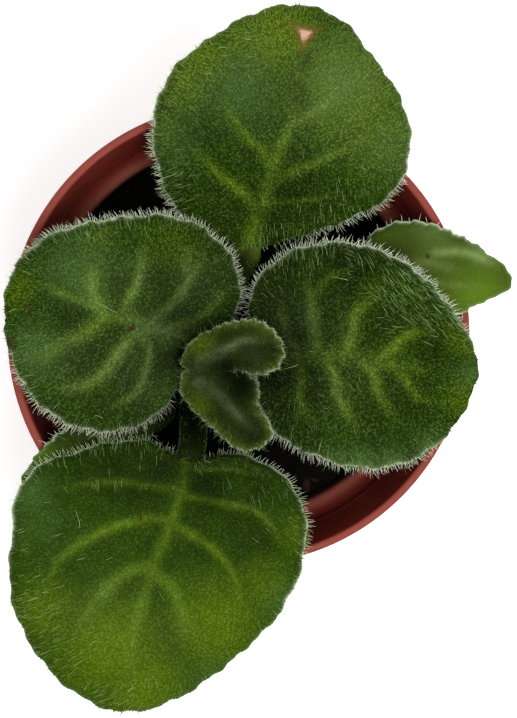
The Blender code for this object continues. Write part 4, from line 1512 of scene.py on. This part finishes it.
def peat_material(name, first, second, scale):
    """Damp peat, between two colours, and paler by its mask."""
    material, n, shader = new_material(name)
    tones = n.group(mottle_group(), {"First": first, "Second": second, "Scale": scale, "Bias": -0.25})
    tone = n.mix(n.mask("tone"), tones["Colour"], second)
    given = {"Base Color": tone, "Roughness": 0.95, "Normal": n.bump(tones["Grain"], 0.0002)}
    n.fill(shader, {**given, "Specular IOR Level": 0.03})
    return material


def mix_surface(x, y, settings):
    """The loose top of the potting mix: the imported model's swell and clods, and finer crumbs."""
    level = MIX_TOP + 0.5 * np.sin(0.13 * x + 0.6) * np.cos(0.11 * y)
    level += 0.7 * np.sin(0.9 * x + 1.3 * np.sin(0.5 * y)) * np.cos(0.8 * y + 0.7)
    spatial = np.stack([x, y, np.zeros_like(x)], -1)
    clod = settings.clod / MM
    level += 0.5 * clod * noise(spatial, 2.4, 3)
    level += 0.55 * clod * np.abs(noise(spatial, 1.1, 4))
    level += 0.25 * clod * noise(spatial, 0.5, 5)
    return np.minimum(level, MIX_CREST)


def mix_shape(settings):
    """The potting mix as one closed body that fills the pot to below its step."""
    rings, sides = MIX_GRID
    outer = MIX_HIGH.x / MM * np.linspace(1.0, 0.0, rings + 1)
    x, y = rings_round(np.concatenate([[0.0, MIX_FOOT_RADIUS], outer]), sides)
    z = mix_surface(x, y, settings)
    z[:2] = MIX_LOW.z / MM
    z[2] = MIX_EDGE
    return turned_body(x, y, z)


def lump_base():
    """An icosahedron: the plain form of every crumb."""
    golden = (1 + 5**0.5) / 2
    corners = []
    for a in (-1, 1):
        for b in (-golden, golden):
            corners += [(0, a, b), (a, b, 0), (b, 0, a)]
    points = unit(np.array(corners, float))
    triangles = []
    for i, j, k in combinations(range(len(points)), 3):
        spread = [np.linalg.norm(points[a] - points[b]) for a, b in ((i, j), (j, k), (i, k))]
        if max(spread) < 1.2:
            out = np.dot(np.cross(points[j] - points[i], points[k] - points[i]), points[i]) > 0
            triangles.append((i, j, k) if out else (i, k, j))
    return points, np.array(triangles)


def crumb_shape(settings):
    """Loose crumbs of peat and bark on the top, with a few paler chips."""
    rng = np.random.default_rng(CRUMB_SEED)
    base, triangles = lump_base()
    count = settings.crumbs
    radius = MIX_HIGH.x / MM * np.sqrt(rng.random(count)) * CRUMB_REACH
    turn = rng.random(count) * math.tau
    x, y = radius * np.cos(turn), radius * np.sin(turn)
    size = 0.22 + 0.55 * rng.random(count) ** 3
    tone = np.clip(rng.normal(0.05, 0.16, count), 0.0, 0.6)
    x, y, size, tone = np.concatenate([[x, y, size, tone], np.transpose(CHIPS)], 1)
    z = mix_surface(x, y, settings) + size * 0.25
    stretch = rng.uniform(0.6, 1.4, (len(x), 1, 3)) * np.array([1.0, 1.0, 0.7])
    dents = 1.0 + rng.uniform(-0.28, 0.28, (len(x), len(base), 1))
    points = base[None] * dents * stretch * size[:, None, None]
    points += np.stack([x, y, z], -1)[:, None]
    starts = np.arange(len(x))[:, None, None] * len(base)
    masks = {"tone": np.repeat(tone, len(base))}
    return Shape(points.reshape(-1, 3), (triangles[None] + starts).reshape(-1, 3), masks=masks)


class PRIMULINA_OT_pot(bpy.types.Operator):
    """Build the nursery pot, with its lip, collar, step and drain holes"""

    bl_idname = "primulina.pot"
    bl_label = "Pot"

    def execute(self, context):
        settings = context.scene.primulina_pot
        pot = add_piece("pot_shell", [pot_shape(settings)], [plastic_material(settings)])
        for number in range(DRAIN_HOLES):
            turn = math.tau * (number + 0.5) / DRAIN_HOLES
            bpy.ops.mesh.primitive_cylinder_add(
                vertices=CUTTER_SIDES,
                radius=settings.hole_radius,
                depth=CUTTER_LENGTH,
                location=(DRAIN_CIRCLE * math.cos(turn), DRAIN_CIRCLE * math.sin(turn), 0.0),
            )
            cutter = context.object
            modifier = pot.modifiers.new("drain hole", "BOOLEAN")
            modifier.operation = "DIFFERENCE"
            modifier.object = cutter
            cut = pot.evaluated_get(context.evaluated_depsgraph_get())
            mesh = bpy.data.meshes.new_from_object(cut)
            pot.modifiers.clear()
            pot.data = mesh
            bpy.data.objects.remove(cutter)
        pot.data.set_sharp_from_angle(angle=math.radians(50))
        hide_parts("pot")
        return {"FINISHED"}


class PRIMULINA_OT_mix(bpy.types.Operator):
    """Build the potting mix and the loose crumbs on it"""

    bl_idname = "primulina.mix"
    bl_label = "Potting mix"

    def execute(self, context):
        settings = context.scene.primulina_mix
        peat, fibre = tuple(settings.peat), tuple(settings.fibre)
        bed = peat_material("peat_bed", peat, tuple(np.array(peat) * 1.8), 260.0)
        crumb = peat_material("peat_crumb", peat, fibre, 300.0)
        mix = add_piece("potting_mix_bed", [mix_shape(settings)], [bed])
        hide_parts("potting_mix")
        add_piece("potting_mix_crumbs", [crumb_shape(settings)], [crumb], False)
        return {"FINISHED"}


class PRIMULINA_OT_stem(bpy.types.Operator):
    """Give the short stem the green skin of the petioles"""

    bl_idname = "primulina.stem"
    bl_label = "Stem"

    def execute(self, context):
        stem = frame["nodes"]["stem"]
        pebble = context.scene.primulina_leaf.pebble
        stem.material_slots[0].material = skin_material("leaf_green", "stalk", pebble)
        return {"FINISHED"}


class PRIMULINA_OT_leaf(bpy.types.Operator):
    """Build one leaf: its blade and petiole in one piece, and its hairs"""

    bl_idname = "primulina.leaf"
    bl_label = "Leaf"

    leaf: bpy.props.EnumProperty(name="Leaf", description="Which leaf to build", items=LEAF_ITEMS)

    def execute(self, context):
        leaf = LEAF_OF[self.leaf]
        settings = context.scene.primulina_leaf
        hair = context.scene.primulina_hair
        blade = blade_surface(leaf, settings)
        upper, under = blade_shapes(blade)
        petiole = petiole_shape(leaf, blade)
        skins = [skin_material(leaf.slot, part, settings.pebble) for part in ("upper", "under", "stalk")]
        body = add_piece(leaf.name + "_blade", [upper, under, petiole], skins)
        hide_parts(leaf.name)

        rng = np.random.default_rng(leaf.seed)
        width = hair.width / MM * 0.8
        on_stalk = (0.0 if leaf.root_on_top else 7.5 * leaf.hairs) * (1.0 - petiole.masks["vein"])
        on_under = np.full(len(under.points), leaf.hairs)
        hairs = [
            *face_hairs(leaf, blade, hair, rng),
            *margin_hairs(leaf, blade, hair, rng),
            surface_hairs(petiole, on_stalk, 0.85, 0.6, width, rng),
            surface_hairs(under, on_under, 0.6, 0.5, width, rng),
        ]
        if leaf.strays:
            hairs.append(stray_hairs(leaf, blade, hair, rng))
        add_piece(leaf.name + "_hairs", hairs, [hair_material(leaf.slot, hair)])
        return {"FINISHED"}


class PRIMULINA_OT_stage(bpy.types.Operator):
    """Set the pale floor, the soft light and the camera"""

    bl_idname = "primulina.stage"
    bl_label = "Stage"

    def execute(self, context):
        scene = context.scene
        settings = scene.primulina_stage
        scene.view_settings.view_transform = "Standard"
        bpy.ops.mesh.primitive_plane_add(size=FLOOR_SIZE, location=(0.0, 0.0, POT_LOW.z))
        floor = context.object
        floor.name = "floor"
        material, n, shader = new_material("floor_matt")
        glow = {"Emission Color": WHITE, "Emission Strength": settings.floor_glow}
        n.fill(shader, {"Base Color": tuple(settings.floor_colour), "Roughness": 0.9, **glow})
        floor.data.materials.append(material)

        world = bpy.data.worlds.new("soft light")
        world.use_nodes = True
        sky = world.node_tree.nodes["Background"]
        Nodes(world.node_tree).fill(sky, {"Color": WHITE, "Strength": settings.sky})
        scene.world = world

        light = bpy.data.lights.new("key light", "AREA")
        light.shape = "DISK"
        light.size = KEY_SIZE
        light.energy = settings.key
        key = bpy.data.objects.new("key light", light)
        key.location = KEY_PLACE
        key.rotation_euler = (-key.location).to_track_quat("-Z", "Y").to_euler()
        scene.collection.objects.link(key)

        camera = bpy.data.objects.new("camera", bpy.data.cameras.new("camera"))
        target = Vector((*VIEW_CENTRE, POT_HIGH.z / MM)) * MM
        toward = math.radians(VIEW_TURN)
        lean = Vector((math.cos(toward), math.sin(toward), 0.0)) * math.sin(settings.tilt)
        away = lean + Vector((0.0, 0.0, math.cos(settings.tilt)))
        camera.location = target + away * settings.distance
        ahead = -away
        right = ahead.cross(Vector((0.0, 1.0, 0.0))).normalized()
        up = right.cross(ahead)
        turn = [[right[k], up[k], -ahead[k]] for k in range(3)]
        camera.rotation_euler = Matrix(turn).to_euler()
        pixels = settings.distance / (RIM_RADIUS / RIM_PIXELS * MM)
        camera.data.sensor_width = SENSOR
        camera.data.lens = pixels * SENSOR / max(IMAGE_SIZE)
        camera.data.clip_start = 0.01
        scene.collection.objects.link(camera)
        scene.camera = camera
        return {"FINISHED"}


class PRIMULINA_PT_panel(bpy.types.Panel):
    """The plant's sizes and colours, and a button for each thing to build"""

    bl_label = "Primulina"
    bl_idname = "PRIMULINA_PT_panel"
    bl_space_type = "VIEW_3D"
    bl_region_type = "UI"
    bl_category = "Primulina"

    def draw(self, context):
        layout = self.layout
        for name in SETTINGS:
            box = layout.box()
            group = getattr(context.scene, name)
            box.label(text=name.replace("primulina_", "").capitalize())
            for key in group.bl_rna.properties.keys():
                if key not in ("rna_type", "name"):
                    box.prop(group, key)
        for operator in (PRIMULINA_OT_pot, PRIMULINA_OT_mix, PRIMULINA_OT_stem):
            layout.operator(operator.bl_idname)
        for name, label, _ in LEAF_ITEMS:
            layout.operator(PRIMULINA_OT_leaf.bl_idname, text=label).leaf = name
        layout.operator(PRIMULINA_OT_stage.bl_idname)


SETTINGS = {
    "primulina_leaf": LeafSettings,
    "primulina_hair": HairSettings,
    "primulina_pot": PotSettings,
    "primulina_mix": MixSettings,
    "primulina_stage": StageSettings,
}

CLASSES = (
    PRIMULINA_OT_pot,
    PRIMULINA_OT_mix,
    PRIMULINA_OT_stem,
    PRIMULINA_OT_leaf,
    PRIMULINA_OT_stage,
    PRIMULINA_PT_panel,
)


def register():
    for name, group in SETTINGS.items():
        bpy.utils.register_class(group)
        setattr(bpy.types.Scene, name, bpy.props.PointerProperty(type=group))
    for cls in CLASSES:
        bpy.utils.register_class(cls)


def unregister():
    for cls in reversed(CLASSES):
        bpy.utils.unregister_class(cls)
    for name, group in reversed(SETTINGS.items()):
        delattr(bpy.types.Scene, name)
        bpy.utils.unregister_class(group)


def main():
    register()
    for obj in list(bpy.data.objects):
        if obj.name in ("Cube", "Light", "Camera"):
            bpy.data.objects.remove(obj)
    bpy.ops.primulina.stage()
    bpy.ops.primulina.pot()
    bpy.ops.primulina.mix()
    bpy.ops.primulina.stem()
    for leaf in LEAVES:
        bpy.ops.primulina.leaf(leaf=leaf.name)


if __name__ == "__main__":
    main()
